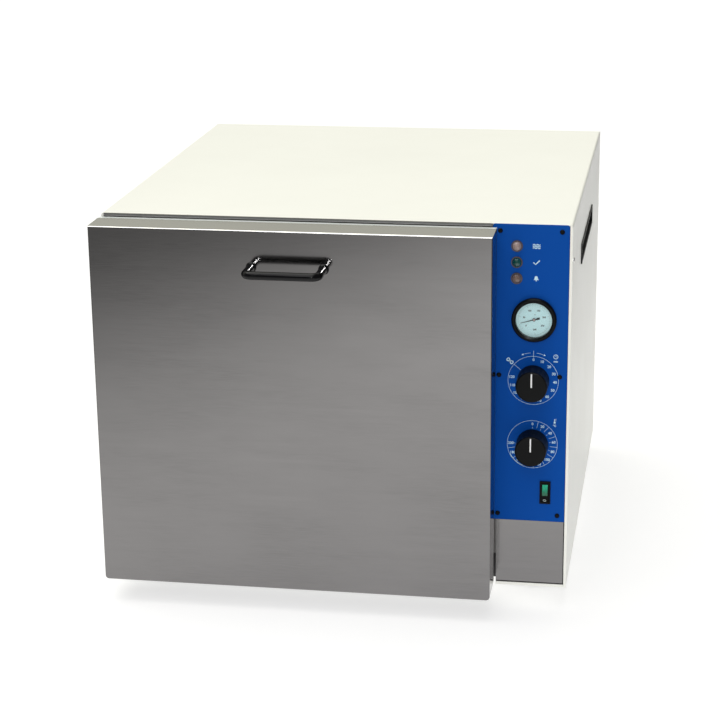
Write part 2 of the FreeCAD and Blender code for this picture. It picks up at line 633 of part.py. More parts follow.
def kick_plate():
    """Stainless plate under the control panel, notched for the door's lower corner."""
    body = new_body("kick_plate")
    add(body, "XZ", "frame_face - kick_sheet", "frame_face",
        [("kick_left", "base + base_lip + kick_gap"),
         ("panel_right - kick_gap / 2", "base + base_lip + kick_gap"),
         ("panel_right - kick_gap / 2", "base + panel_bottom - seam"),
         ("panel_left", "base + panel_bottom - seam"),
         ("panel_left", "recess_top"), ("kick_left", "recess_top")])


def rear_panel():
    """The back plate, with louvre slots and holes for the vent, gland and fuse."""
    body = new_body("rear_panel")
    gland, fuse = rear_fitting_places()
    add(body, "XZ", "back - rear_sheet", "back",
        rect("left", "base", "right", "top - seam"),
        (vent_place()[0], vent_place()[1], "vent_radius + seam"),
        (gland[0], gland[1], "gland_thread + seam / 2"),
        (fuse[0], fuse[1], "fuse_barrel + seam / 2"),
        *[(across, high, "cover_screw + pin_clearance")
          for across, high in rear_screw_places()])
    upper = cut(body, "XZ", "back - rear_sheet - overrun", "back + overrun",
                middle_rect("dial_x - louvre_pitch * (%d - 1) / 2" % UPPER_LOUVRES,
                            "top - grip_drop", "louvre_width", "louvre_height"))
    row_of(body, [upper], "X", "louvre_pitch", UPPER_LOUVRES)
    lower = cut(body, "XZ", "back - rear_sheet - overrun", "back + overrun",
                middle_rect("door_middle - louvre_pitch * (%d - 1) / 2" % LOWER_LOUVRES,
                            "base + grip_drop", "louvre_width", "louvre_height"))
    row_of(body, [lower], "X", "louvre_pitch", LOWER_LOUVRES)


def vent_place():
    return ("chamber_x0 + chamber_width / 2", "chamber_z1 - vent_drop")


def rear_fitting_places():
    """Cord gland and fuse holder, behind the control compartment."""
    return (("right - gland_across", "base + gland_rise"),
            ("right - fuse_across", "base + fuse_rise"))


def compartment_wall():
    """One folded sheet: it parts the hot side from the controls, then closes the wool's back."""
    body = new_body("compartment_wall")
    low, high = "base + cover_sheet", "top - cover_bend - seam"
    rear = "(wool_y1 + wall_sheet)"
    left_edge = "left + cover_sheet * 2 + seam"
    add(body, "YZ", "wall_x0", "wall_x0 + wall_sheet",
        [("recess_back + seam", low), (rear, low), (rear, high), ("frame_back + seam", high),
         ("frame_back + seam", "recess_top + seam"), ("recess_back + seam", "recess_top + seam")],
        ("front + sleeve_back", "chamber_z0 + sleeve_rise", "sleeve_radius + seam / 2"))
    add(body, "XZ", "wool_y1", rear, rect(left_edge, low, "wall_x0", high),
        (vent_place()[0], vent_place()[1], "vent_radius + seam / 2"),
        *[(across, "chamber_z0 + heater_lift", "heater_seal + seam / 2")
          for across in heater_ends()])
    add(body, "XY", low, low + " + wall_sheet",
        rect(left_edge, rear, "wall_x0", rear + " + wall_flange"))


# Chamber

def chamber_liner():
    """The stainless chamber: five walls and a flange behind the frame."""
    body = new_body("chamber_liner")
    outside = ("chamber_x0 - liner_sheet", "chamber_z0 - liner_sheet",
               "chamber_x1 + liner_sheet", "chamber_z1 + liner_sheet",
               "(chamber_corner + liner_sheet)")
    inside = ("chamber_x0", "chamber_z0", "chamber_x1", "chamber_z1", "chamber_corner")
    add(body, "XZ", "frame_back", "chamber_y1", outside, inside)
    add(body, "XZ", "chamber_y1", "chamber_y1 + liner_sheet", outside)
    add(body, "XZ", "frame_back", "frame_back + liner_sheet",
        rect("chamber_x0 - liner_flange", "chamber_z0 - liner_flange",
             "chamber_x1 + liner_flange", "chamber_z1 + liner_flange"), inside)
    cut(body, "XZ", "chamber_y1 - overrun", "chamber_y1 + liner_sheet + overrun",
        (vent_place()[0], vent_place()[1], "vent_radius"))
    for across in heater_ends():
        cut(body, "XZ", "chamber_y1 - overrun", "chamber_y1 + liner_sheet + overrun",
            (across, "chamber_z0 + heater_lift", "heater_radius + pin_clearance"))
    cut(body, "YZ", "chamber_x1 - overrun", "chamber_x1 + liner_sheet + overrun",
        ("front + sleeve_back", "chamber_z0 + sleeve_rise", "sleeve_radius"))


def chamber_insulation():
    """Mineral wool packed round the liner, open at the front."""
    body = new_body("chamber_insulation")
    outer_left, outer_right = "left + wool_margin", "wall_x0 - wool_gap / 2"
    low, high = "recess_top + wool_gap", "top - wool_margin"
    start = "frame_back + liner_sheet + wool_gap"
    gap = "(liner_sheet + wool_gap / 2)"
    add(body, "XZ", start, "wool_y1 - wool_gap / 2",
        rect(outer_left, low, outer_right, high))
    cut(body, "XZ", start + " - overrun", "chamber_y1 + liner_sheet + wool_gap / 2",
        rect("chamber_x0 - " + gap, "chamber_z0 - " + gap, "chamber_x1 + " + gap,
             "chamber_z1 + " + gap))
    cut(body, "XZ", "chamber_y1", "wool_y1 + overrun",
        (vent_place()[0], vent_place()[1], "vent_radius + wool_gap / 2"))
    for across in heater_ends():
        cut(body, "XZ", "chamber_y1", "wool_y1 + overrun",
            (across, "chamber_z0 + heater_lift", "heater_seal + wool_gap / 2"))
    cut(body, "YZ", "chamber_x1", outer_right + " + overrun",
        ("front + sleeve_back", "chamber_z0 + sleeve_rise", "sleeve_radius + wool_gap / 2"))
    cut(body, "YZ", outer_left + " - overrun",
        "left + cover_sheet + grip_depth + grip_wall + wool_gap",
        middle_rect("front + case_depth / 2 - grip_ahead", "top - grip_drop",
                    "grip_length + grip_wall * 2 + wool_gap * 2",
                    "grip_height + grip_wall * 2 + grip_catch * 2 + wool_gap * 2"))
    for across in magnet_middles():
        cut(body, "XZ", start + " - overrun", "front + magnet_depth + wool_gap",
            middle_rect(across, "door_top - magnet_drop", "magnet_width + wool_gap",
                        "magnet_height + wool_gap"))


def rack_planes(side):
    """The chamber's wall, both faces of the rack's sheet and both steps of its runner."""
    wall = "chamber_x0" if side == "left" else "chamber_x1"
    inward = "+" if side == "left" else "-"
    reaches = ("rack_standoff", "(rack_standoff + rack_sheet)",
               "(rack_standoff + rack_sheet + runner_sheet)",
               "(rack_standoff + rack_sheet + runner_width)")
    return [wall] + ["%s %s %s" % (wall, inward, reach) for reach in reaches]


def between(side, near, far):
    """Two planes of a rack in the order in which they lie along X."""
    return (near, far) if side == "left" else (far, near)


def tray_rack(side):
    """Two uprights that stand off the chamber's wall on spacers."""
    body = new_body("tray_rack_" + side)
    wall, outer, inner = rack_planes(side)[:3]
    add(body, "YZ", *between(side, outer, inner),
        rect("rack_y0", "rack_z0", "rack_y0 + rack_bar", "rack_z1"),
        rect("rack_y1 - rack_bar", "rack_z0", "rack_y1", "rack_z1"))
    studs = [(deep, high, "spacer_radius")
             for deep in ("rack_y0 + rack_bar / 2", "rack_y1 - rack_bar / 2")
             for high in ("rack_z0 + rack_bar / 4", "rack_z1 - rack_bar / 4")]
    add(body, "YZ", *between(side, wall, outer), *studs)


def tray_runners():
    """Angle strips on both racks: a leg on the uprights and a ledge for the tray's rim."""
    body = new_body("tray_runners")
    shelves = ["chamber_z0 + runner_first + runner_pitch * %d" % level
               for level in range(RUNNERS)]
    for side in ("left", "right"):
        inner, leg, tip = rack_planes(side)[2:]
        add(body, "YZ", *between(side, inner, leg),
            *[rect("rack_y0", shelf + " - runner_drop", "rack_y1", shelf)
              for shelf in shelves])
        add(body, "YZ", *between(side, leg, tip),
            *[rect("rack_y0", shelf + " - runner_sheet", "rack_y1", shelf)
              for shelf in shelves])


def tray(label, level):
    """An instrument tray: a slotted pan with rims and a finger cut in its front rim."""
    body = new_body(label)
    floor = "chamber_z0 + runner_first + runner_pitch * %d + tray_lift" % level
    add(body, "XY", floor, floor + " + tray_rim",
        rect("tray_x0", "tray_y0", "tray_x1", "tray_y1"))
    fillet(body, "tray_corner", {"x": "tray_x0", "y": "tray_y1"},
           {"x": "tray_x1", "y": "tray_y1"})
    cut(body, "XY", floor + " + tray_sheet", floor + " + tray_rim + overrun",
        ("tray_x0 + tray_sheet", "tray_y0 + tray_sheet", "tray_x1 - tray_sheet",
         "tray_y1 - tray_sheet", "(tray_corner - tray_sheet)"))
    add(body, "XZ", "tray_y0", "tray_y0 + tray_sheet",
        rect("tray_x0 + runner_width", floor + " + tray_rim", "tray_x1 - runner_width",
             floor + " + tray_front_rim"))
    middle = "(tray_x0 + tray_x1) / 2"
    cut(body, "XZ", "tray_y0 - overrun", "tray_y0 + tray_sheet + overrun",
        middle_rect(middle, floor + " + tray_front_rim - tray_grip_height",
                    "tray_grip_width", "tray_grip_height"))
    slots = [middle_rect("%s + tray_slot_spread * (%s)" % (middle, place),
                         "tray_y0 + tray_slot_pitch", "tray_slot_spread - tray_slot_web",
                         "tray_slot_width")
             for place in column_shifts(TRAY_SLOT_COLUMNS)]
    first = cut(body, "XY", floor + " - overrun", floor + " + tray_sheet + overrun", *slots)
    row_of(body, [first], "Y", "tray_slot_pitch", TRAY_SLOT_ROWS)


def column_shifts(count):
    """Where evenly spaced columns lie about their middle, in pitches."""
    return ["%d / 2" % (order * 2 - count + 1) for order in range(count)]


def element_guard():
    """A slotted stainless plate over the heating element, on two folded legs."""
    body = new_body("element_guard")
    floor = "chamber_z0"
    crown = "chamber_z0 + guard_height"
    inner_left, inner_right = "guard_x0 + guard_sheet", "guard_x1 - guard_sheet"
    add(body, "XZ", "guard_y0", "guard_y1",
        [("guard_x0", floor), (inner_left, floor), (inner_left, crown + " - guard_sheet"),
         (inner_right, crown + " - guard_sheet"), (inner_right, floor), ("guard_x1", floor),
         ("guard_x1", crown), ("guard_x0", crown)])
    fillet(body, "guard_bend", {"x": "guard_x0", "z": crown}, {"x": "guard_x1", "z": crown})
    slots = [middle_rect("(guard_x0 + guard_x1) / 2 + guard_slot_spread * (%s)" % place,
                         "guard_y0 + guard_slot_pitch", "guard_slot_spread - guard_slot_web",
                         "guard_slot_width") for place in column_shifts(GUARD_SLOT_COLUMNS)]
    first = cut(body, "XY", crown + " - guard_sheet - overrun", crown + " + overrun", *slots)
    row_of(body, [first], "Y", "guard_slot_pitch", GUARD_SLOT_ROWS)


def heater_lanes():
    """Where the element's straight runs lie across the chamber."""
    return ["chamber_x0 + heater_margin + heater_pitch * %d" % lane
            for lane in range(HEATER_LANES)]


def heater_ends():
    """The two ends of the element, left and right of the chamber's middle."""
    lanes = heater_lanes()
    return lanes[0], lanes[-1]


def heating_element():
    """One sheathed rod bent to and fro under the guard, with both ends through the back."""
    level = "chamber_z0 + heater_lift"
    out = "wool_y1 + wall_sheet + heater_tail"
    lanes = heater_lanes()
    corners = [at(lanes[0], out, level), at(lanes[0], "heater_y0", level)]
    for lane, across in enumerate(lanes[1:-1], start=1):
        ends = ("heater_y0", "heater_y1") if lane % 2 else ("heater_y1", "heater_y0")
        corners += [at(across, ends[0], level), at(across, ends[1], level)]
    corners += [at(lanes[-1], "heater_y0", level), at(lanes[-1], out, level)]
    bend = number("heater_pitch / 2 - heater_slack")
    shape_part("heating_element", bent_tube(corners, number("heater_radius"), bend))


def element_seals():
    """Ceramic bushes round the element's ends, through the insulation and bulkhead."""
    body = new_body("element_seals")
    level = "chamber_z0 + heater_lift"
    for across in heater_ends():
        turn(body, "Y", across, level,
             [("heater_radius", "chamber_y1 + liner_sheet"),
              ("heater_seal", "chamber_y1 + liner_sheet"),
              ("heater_seal", "wool_y1 + wall_sheet + seam"),
              ("heater_radius + rear_sheet", "wool_y1 + wall_sheet + heater_seal"),
              ("heater_radius", "wool_y1 + wall_sheet + heater_seal")])


def element_clips():
    """Saddles that carry the element off the chamber's floor."""
    body = new_body("element_clips")
    low, high = heater_ends()
    for deep in ("heater_y0 + heater_pitch", "heater_y1 - heater_pitch"):
        add(body, "XZ", deep, deep + " + clip_width",
            rect(low + " - clip_margin", "chamber_z0", high + " + clip_margin",
                 "chamber_z0 + heater_lift - heater_radius"))


def vent_tube():
    """Thin tube from the chamber's back wall out through the rear panel, with a rolled rim."""
    body = new_body("vent_tube")
    across, high = vent_place()
    end = "back + rear_standoff"
    turn(body, "Y", across, high,
         [("vent_radius - vent_wall", "chamber_y1"), ("vent_radius", "chamber_y1"),
          ("vent_radius", end + " - vent_rim_sheet"), ("vent_rim", end + " - vent_rim_sheet"),
          ("vent_rim", end), ("vent_radius - vent_wall", end)])


def probe_sleeve():
    """Short tube that carries the capillaries through the chamber's side."""
    body = new_body("probe_sleeve")
    turn(body, "X", "front + sleeve_back", "chamber_z0 + sleeve_rise",
         [("sleeve_radius - sleeve_wall", "chamber_x1 - sleeve_end"),
          ("sleeve_radius", "chamber_x1 - sleeve_end"),
          ("sleeve_radius", "wall_x0 + wall_sheet + sleeve_end"),
          ("sleeve_radius - sleeve_wall", "wall_x0 + wall_sheet + sleeve_end")])


def bulb_places():
    """Axes of the two sensing bulbs, (x, z), thermostat below and thermometer above."""
    across = "chamber_x1 - bulb_offset"
    middle = "chamber_z0 + sleeve_rise"
    return {"thermostat": (across, middle + " - bulb_pitch"),
            "thermometer": (across, middle + " + bulb_pitch")}


def probe(name, goal_y, goal_z):
    """A bulb along the chamber's wall and its fine tube, brazed in one: the tube goes
    through the sleeve to the back of its instrument."""
    across, high = bulb_places()[name]
    sign = "-" if name == "thermostat" else "+"
    rear = "front + sleeve_back - capillary_lead * 2"
    sleeve_z = "chamber_z0 + sleeve_rise %s capillary_radius * 2" % sign
    route = [at(across, rear, high), at(across, "front + sleeve_back - capillary_lead / 4", high),
             at("chamber_x1 - sleeve_end", "front + sleeve_back", sleeve_z),
             at("wall_x0 + capillary_lead * 3", "front + sleeve_back", sleeve_z),
             at("dial_x", "front + sleeve_back - capillary_lead * 3", goal_z),
             at("dial_x", goal_y, goal_z)]
    bends = []
    for before, corner, after in zip(route, route[1:], route[2:]):
        half_turn = (corner - before).getAngle(after - corner) / 2
        run = min((corner - before).Length, (after - corner).Length)
        bends.append(number("bend_share") * run / math.tan(half_turn))
    tube = bent_tube(route, number("capillary_radius"), min(bends + [number("capillary_lead")]))
    length, radius = number("bulb_length"), number("bulb_radius")
    bulb = Part.makeCylinder(radius, length - radius, route[0], Vector(0, -1, 0))
    nose = Part.makeSphere(radius, route[0] - Vector(0, length - radius, 0))
    shape_part(name + "_probe", tube.fuse([bulb, nose]).removeSplitter())


def bulb_clips():
    """Two saddle plates that hold both bulbs against the chamber's wall."""
    body = new_body("bulb_clips")
    rear = "front + sleeve_back - capillary_lead * 2"
    low = "chamber_z0 + sleeve_rise - bulb_pitch - bulb_radius * 2"
    high = "chamber_z0 + sleeve_rise + bulb_pitch + bulb_radius * 2"
    bulbs = [(across, height, "bulb_radius") for across, height in bulb_places().values()]
    for share in ("1 / 4", "3 / 4"):
        start = "%s - bulb_length * %s" % (rear, share)
        add(body, "XZ", start, start + " + bulb_clip_width",
            rect("chamber_x1 - bulb_offset - bulb_radius - bulb_clip_sheet", low,
                 "chamber_x1", high), *bulbs)


# Door

def door_rim_rect(inset):
    return rect("left + " + inset, "door_base + " + inset, "door_right - (%s)" % inset,
                "door_top - (%s)" % inset)


def door_inner_rect(inset):
    """The inside of a folded door sheet: its corners follow the outer ones."""
    return ("left + %s" % inset, "door_base + %s" % inset, "door_right - (%s)" % inset,
            "door_top - (%s)" % inset, "(door_corner - (%s))" % inset)


def hinge_notches(body):
    """Clears the door's lower rear corner round each hinge plate."""
    for middle in hinge_middles().values():
        cut(body, "XZ", "pin_y - hinge_eye - overrun", "front",
            rect(middle + " - hinge_plate / 2 - hinge_slot_gap", "door_base - overrun",
                 middle + " + hinge_plate / 2 + hinge_slot_gap", "pin_z + hinge_eye + overrun"))


def door_skin():
    """The door's outer shell: a folded stainless tray with a return lip at its back."""
    body = new_body("door_skin")
    add(body, "XZ", "door_front", "skin_back", door_rim_rect("0"))
    fillet(body, "door_corner", {"x": "left", "z": "door_base"},
           {"x": "door_right", "z": "door_base"})
    fillet(body, "door_bend", {"y": "door_front"})
    cut(body, "XZ", "door_front + door_sheet", "skin_back - door_sheet",
        door_inner_rect("door_sheet"))
    cut(body, "XZ", "skin_back - door_sheet - overrun", "skin_back + overrun",
        door_rim_rect("door_lip"))
    hinge_notches(body)
    for across in handle_feet():
        cut(body, "XZ", "door_front - overrun", "door_front + door_sheet + overrun",
            (across, "door_top - handle_drop", "handle_screw + pin_clearance"))


def handle_feet():
    return ("door_middle - handle_spacing / 2", "door_middle + handle_spacing / 2")


def door_inner_panel():
    """The pressing that faces the chamber: a shallow tray with a dished plug."""
    body = new_body("door_inner_panel")
    plug = "plug_clearance"
    x0, x1 = "chamber_x0 + " + plug, "chamber_x1 - " + plug
    z0, z1 = "chamber_z0 + " + plug, "chamber_z1 - " + plug
    add(body, "XZ", "skin_back", "door_back", door_rim_rect("rim_inset"))
    fillet(body, "door_corner - rim_inset",
           {"x": "left + rim_inset", "z": "door_base + rim_inset"},
           {"x": "door_right - rim_inset", "z": "door_base + rim_inset"})
    fillet(body, "door_bend", {"y": "door_back"})
    cut(body, "XZ", "skin_back - overrun", "door_back - door_sheet",
        door_inner_rect("rim_inset + door_sheet"))
    add(body, "XZ", "door_back", "door_back + plug_depth", rect(x0, z0, x1, z1))
    fillet(body, "plug_corner", *[{"x": across, "z": high} for across in (x0, x1)
                                  for high in (z0, z1)])
    fillet(body, "plug_bend", {"y": "door_back + plug_depth"})
    cut(body, "XZ", "door_back - door_sheet - overrun", "door_back + plug_depth - door_sheet",
        rect(x0 + " + plug_corner / 3", z0 + " + plug_corner / 3", x1 + " - plug_corner / 3",
             z1 + " - plug_corner / 3"))
    hinge_notches(body)


def door_insulation():
    """A mineral wool slab that fills the door and its plug."""
    body = new_body("door_insulation")
    lip = "skin_back - door_sheet - wool_gap / 4"
    rear = "door_back - door_sheet - wool_gap / 4"
    start = "door_front + door_sheet + wool_gap / 4"
    inset = "door_sheet + wool_gap / 2"
    room = "ear_height + ear_web"
    x0 = "left + " + inset
    x1 = "door_right - (%s)" % inset
    z0, z1 = "door_base + " + inset, "door_top - (%s)" % inset
    add(body, "XZ", start, lip, rect(x0, z0, x1, z1))
    fillet(body, "door_corner - door_sheet",
           *[{"x": across, "z": high} for across in (x0, x1) for high in (z0, z1)])
    add(body, "XZ", lip, rear, door_rim_rect("door_lip + wool_gap / 2"))
    add(body, "XZ", rear, "door_back + plug_depth - door_sheet - wool_gap / 4",
        rect("chamber_x0 + plug_clearance + plug_corner / 3 + wool_gap / 4",
             "chamber_z0 + plug_clearance + plug_corner / 3 + wool_gap / 4",
             "chamber_x1 - plug_clearance - plug_corner / 3 - wool_gap / 4",
             "chamber_z1 - plug_clearance - plug_corner / 3 - wool_gap / 4"))
    for middle in hinge_middles().values():
        half = "hinge_plate / 2 + ear_gap + ear_sheet + pin_head + wool_gap"
        cut(body, "XZ", "pin_y - hinge_eye - ear_web - wool_gap * 2", "door_back + overrun",
            rect("%s - (%s)" % (middle, half), "door_base - overrun",
                 "%s + (%s)" % (middle, half), "pin_z + %s + wool_gap" % room))
    for across in handle_feet():
        cut(body, "XZ", start + " - overrun", start + " + handle_screw_length + wool_gap",
            (across, "door_top - handle_drop", "handle_screw_head + wool_gap"))


def door_gasket():
    """A silicone ring between the door and the fascia, round the plug."""
    body = new_body("door_gasket")
    out = "gasket_inset + gasket_width - plug_clearance"
    inner = "gasket_inset - plug_clearance"
    add(body, "XZ", "door_back", "front - gasket_gap",
        rect("chamber_x0 - (%s)" % out, "chamber_z0 - (%s)" % out,
             "chamber_x1 + (%s)" % out, "chamber_z1 + (%s)" % out),
        rect("chamber_x0 - (%s)" % inner, "chamber_z0 - (%s)" % inner,
             "chamber_x1 + (%s)" % inner, "chamber_z1 + (%s)" % inner))
    corner = [{"x": across, "z": high}
              for across in ("chamber_x0 - (%s)" % out, "chamber_x1 + (%s)" % out)
              for high in ("chamber_z0 - (%s)" % out, "chamber_z1 + (%s)" % out)]
    inner_corner = [{"x": across, "z": high}
                    for across in ("chamber_x0 - (%s)" % inner, "chamber_x1 + (%s)" % inner)
                    for high in ("chamber_z0 - (%s)" % inner, "chamber_z1 + (%s)" % inner)]
    fillet(body, "gasket_width * 2", *corner)
    fillet(body, "gasket_width", *inner_corner)
    fillet(body, "gasket_round", {"y": "front - gasket_gap"})


def hinge_brackets():
    """Case side of the hinges: a foot on the recess's back wall and a plate with an eye."""
    body = new_body("hinge_brackets")
    wall = "recess_back - cover_sheet"
    low, high = "base + door_lift * 2", "(recess_top - cover_sheet * 2)"
    for middle in hinge_middles().values():
        plate = (middle + " - hinge_plate / 2", middle + " + hinge_plate / 2")
        add(body, "YZ", *plate,
            [(wall, "pin_z - hinge_eye"), (wall, high), ("pin_y", "pin_z + hinge_eye"),
             ("pin_y", "pin_z - hinge_eye")])
        add(body, "YZ", *plate, ("pin_y", "pin_z", "hinge_eye"))
        add(body, "XZ", wall + " - hinge_foot_sheet", wall,
            middle_rect(middle, "(%s + %s) / 2" % (low, high), "hinge_foot_width",
                        "%s - (%s)" % (high, low)))
        cut(body, "YZ", plate[0] + " - overrun", plate[1] + " + overrun",
            ("pin_y", "pin_z", "pin_radius + pin_clearance"))
    cut(body, "XZ", wall + " - hinge_foot_sheet - overrun", wall + " + overrun",
        *[(across, height, "cover_screw + pin_clearance")
          for across, height in hinge_screw_places()])


def hinge_clevises():
    """Door side of the hinges: two ears under a web, fixed to the inner panel."""
    body = new_body("hinge_clevises")
    inner = "(hinge_plate / 2 + ear_gap)"
    outer = "(hinge_plate / 2 + ear_gap + ear_sheet)"
    rear = "door_back - door_sheet"
    face = "pin_y - hinge_eye"
    low, high = "pin_z - hinge_eye - ear_web", "pin_z + ear_height"
    for middle in hinge_middles().values():
        for start, end in (("%s - %s" % (middle, outer), "%s - %s" % (middle, inner)),
                           ("%s + %s" % (middle, inner), "%s + %s" % (middle, outer))):
            add(body, "YZ", start, end, rect(face, low, rear, high),
                ("pin_y", "pin_z", "pin_radius"))
        add(body, "XY", "pin_z + hinge_eye + ear_web", high,
            rect("%s - %s" % (middle, inner), face, "%s + %s" % (middle, inner), rear))


def hinge_pins():
    """The two pins, pressed in the clevises and turning in the brackets' eyes."""
    body = new_body("hinge_pins")
    for middle in hinge_middles().values():
        half = "hinge_plate / 2 + ear_gap + ear_sheet + pin_head"
        turn(body, "X", "pin_y", "pin_z",
             [("0", "%s - (%s)" % (middle, half)), ("pin_radius", "%s - (%s)" % (middle, half)),
              ("pin_radius", "%s + %s" % (middle, half)), ("0", "%s + %s" % (middle, half))])


def screw(body, across, high, face, side, head, head_height, shank="cover_screw",
          length="cover_screw_length"):
    """A pan head screw along Y: its head stands on the side of the face given by a sign."""
    out, into = ("-", "+") if side < 0 else ("+", "-")
    profile = [("0", "%s %s %s" % (face, out, head_height)),
               ("%s * crown_share" % head, "%s %s %s" % (face, out, head_height)),
               (head, "%s %s %s * edge_share" % (face, out, head_height)), (head, face),
               (shank, face), (shank, "%s %s %s" % (face, into, length)),
               ("0", "%s %s %s" % (face, into, length))]
    turn(body, "Y", across, high, profile)


def door_magnets():
    """The catch: two magnets in the frame, level with the door's top."""
    body = new_body("door_magnets")
    for across in magnet_middles():
        add(body, "XZ", "front - magnet_proud", "front + magnet_depth",
            middle_rect(across, "door_top - magnet_drop", "magnet_width", "magnet_height"))


def door_strikes():
    """The catch's steel plates on the door's inner panel."""
    body = new_body("door_strikes")
    for across in magnet_middles():
        add(body, "XZ", "door_back", "door_back + strike_sheet",
            middle_rect(across, "door_top - magnet_drop", "magnet_width + strike_margin * 2",
                        "magnet_height"))


def door_handle():
    """A bow handle: a black bar bent at both ends, with a collar at each foot."""
    level = "door_top - handle_drop"
    reach = "door_front - handle_projection + handle_bar / 2"
    low, high = handle_feet()
    bow = bent_tube([at(low, "door_front", level), at(low, reach, level),
                     at(high, reach, level), at(high, "door_front", level)],
                    number("handle_bar / 2"), number("handle_bend"))
    depth = number("handle_foot_height")
    for across in handle_feet():
        foot = Part.makeCone(number("handle_foot"), number("handle_bar / 2"), depth,
                             at(across, "door_front", level), Vector(0, -1, 0))
        hole = Part.makeCylinder(number("handle_screw"), number("handle_screw_length"),
                                 at(across, "door_front", level), Vector(0, -1, 0))
        bow = bow.fuse(foot).cut(hole)
    shape_part("door_handle", bow.removeSplitter())


def handle_screws():
    """Screws from inside the door into the handle's feet."""
    body = new_body("handle_screws")
    for across in handle_feet():
        screw(body, across, "door_top - handle_drop", "door_front + door_sheet", 1,
              "handle_screw_head", "handle_screw", "handle_screw",
              "handle_screw_length + door_sheet - seam")


# Control panel

def panel_screws():
    body = new_body("panel_screws")
    for across, high in panel_screw_places():
        screw(body, across, high, "front", -1, "panel_screw_head", "panel_screw_head_height",
              "panel_screw_radius", "panel_screw_length")


def lamp_bodies():
    """Three pilot lamp barrels behind their bezels, each with a nut behind the panel."""
    body = new_body("lamp_bodies")
    for high in lamp_heights():
        turn(body, "Y", "lamp_x", high,
             [("0", "front + lamp_seat"), ("lamp_lens + bush_clearance", "front + lamp_seat"),
              ("lamp_lens + bush_clearance", "front - lamp_bezel_height"),
              ("lamp_bezel - bush_clearance", "front - lamp_bezel_height"),
              ("lamp_bezel", "front - lamp_bezel_height / 2"), ("lamp_bezel", "front"),
              ("lamp_barrel", "front"), ("lamp_barrel", "frame_face"),
              ("lamp_bezel + bush_clearance", "frame_face"),
              ("lamp_bezel + bush_clearance", "frame_face + lamp_nut_height"),
              ("lamp_barrel", "frame_face + lamp_nut_height"),
              ("lamp_barrel", "front + lamp_barrel_length"),
              ("0", "front + lamp_barrel_length")])


def lamp_lens(label, high):
    """A domed lens that fills its bezel."""
    body = new_body(label)
    brim = "front - lamp_bezel_height"
    dome = [("lamp_lens * cos(%ddeg)" % turn_by,
             "%s - lamp_lens_height * sin(%ddeg)" % (brim, turn_by))
            for turn_by in range(0, 90, 15)]
    turn(body, "Y", "lamp_x", high,
         [("0", "front + lamp_seat"), ("lamp_lens", "front + lamp_seat")] + dome
         + [("0", brim + " - lamp_lens_height")])


def thermometer_case():
    """A round case with a black bezel, flush behind with the panel."""
    body = new_body("thermometer_case")
    high = "base + gauge_rise"
    inner = "gauge_bezel - gauge_bezel_wall"
    turn(body, "Y", "dial_x", high,
         [("0", "front + gauge_dial_sheet"), (inner, "front + gauge_dial_sheet"),
          (inner, "front - gauge_bezel_height + gauge_glass_drop / 2"),
          (inner + " + gauge_bezel_wall * bezel_round_share", "front - gauge_bezel_height"),
          ("gauge_bezel - gauge_bezel_wall * bezel_round_share", "front - gauge_bezel_height"),
          ("gauge_bezel", "front - gauge_bezel_height * (1 - bezel_round_share)"),
          ("gauge_bezel", "front"),
          ("gauge_barrel", "front"), ("gauge_barrel", "front + gauge_barrel_length"),
          ("0", "front + gauge_barrel_length")])


def thermometer_dial():
    body = new_body("thermometer_dial")
    turn(body, "Y", "dial_x", "base + gauge_rise",
         [("0", "front"), ("gauge_bezel - gauge_bezel_wall - pin_clearance", "front"),
          ("gauge_bezel - gauge_bezel_wall - pin_clearance", "front + gauge_dial_sheet"),
          ("0", "front + gauge_dial_sheet")])


def thermometer_glass():
    body = new_body("thermometer_glass")
    glass = "front - gauge_bezel_height + gauge_glass_drop"
    turn(body, "Y", "dial_x", "base + gauge_rise",
         [("0", glass), ("gauge_bezel - gauge_bezel_wall - pin_clearance", glass),
          ("gauge_bezel - gauge_bezel_wall - pin_clearance", glass + " + gauge_glass_sheet"),
          ("0", glass + " + gauge_glass_sheet")])


def thermometer_pointer():
    """A tapered hand with a short counterweight, on a round hub."""
    body = new_body("thermometer_pointer")
    high = "base + gauge_rise"
    start, end = "front - pointer_gap - pointer_sheet", "front - pointer_gap"
    cosine, sine = "cos(pointer_angle * 1deg)", "sin(pointer_angle * 1deg)"

    def spot(along, aside):
        return ("dial_x + (%s) * %s - (%s) * %s" % (along, cosine, aside, sine),
                "%s + (%s) * %s + (%s) * %s" % (high, along, sine, aside, cosine))

    add(body, "XZ", start, end,
        [spot("pointer_length", "pointer_width / 5"), spot("0", "pointer_width / 2"),
         spot("-pointer_tail / 3", "pointer_width / 2"),
         spot("-pointer_tail / 2", "pointer_tail_width / 2"),
         spot("-pointer_tail", "pointer_tail_width / 2"),
         spot("-pointer_tail", "-pointer_tail_width / 2"),
         spot("-pointer_tail / 2", "-pointer_tail_width / 2"),
         spot("-pointer_tail / 3", "-pointer_width / 2"), spot("0", "-pointer_width / 2"),
         spot("pointer_length", "-pointer_width / 5")])
    turn(body, "Y", "dial_x", high,
         [("0", "front - pointer_gap / 2"), ("pointer_hub", "front - pointer_gap / 2"),
          ("pointer_hub", start + " - pointer_sheet"),
          ("pointer_hub / 2", start + " - pointer_sheet * 2"),
          ("0", start + " - pointer_sheet * 2")])


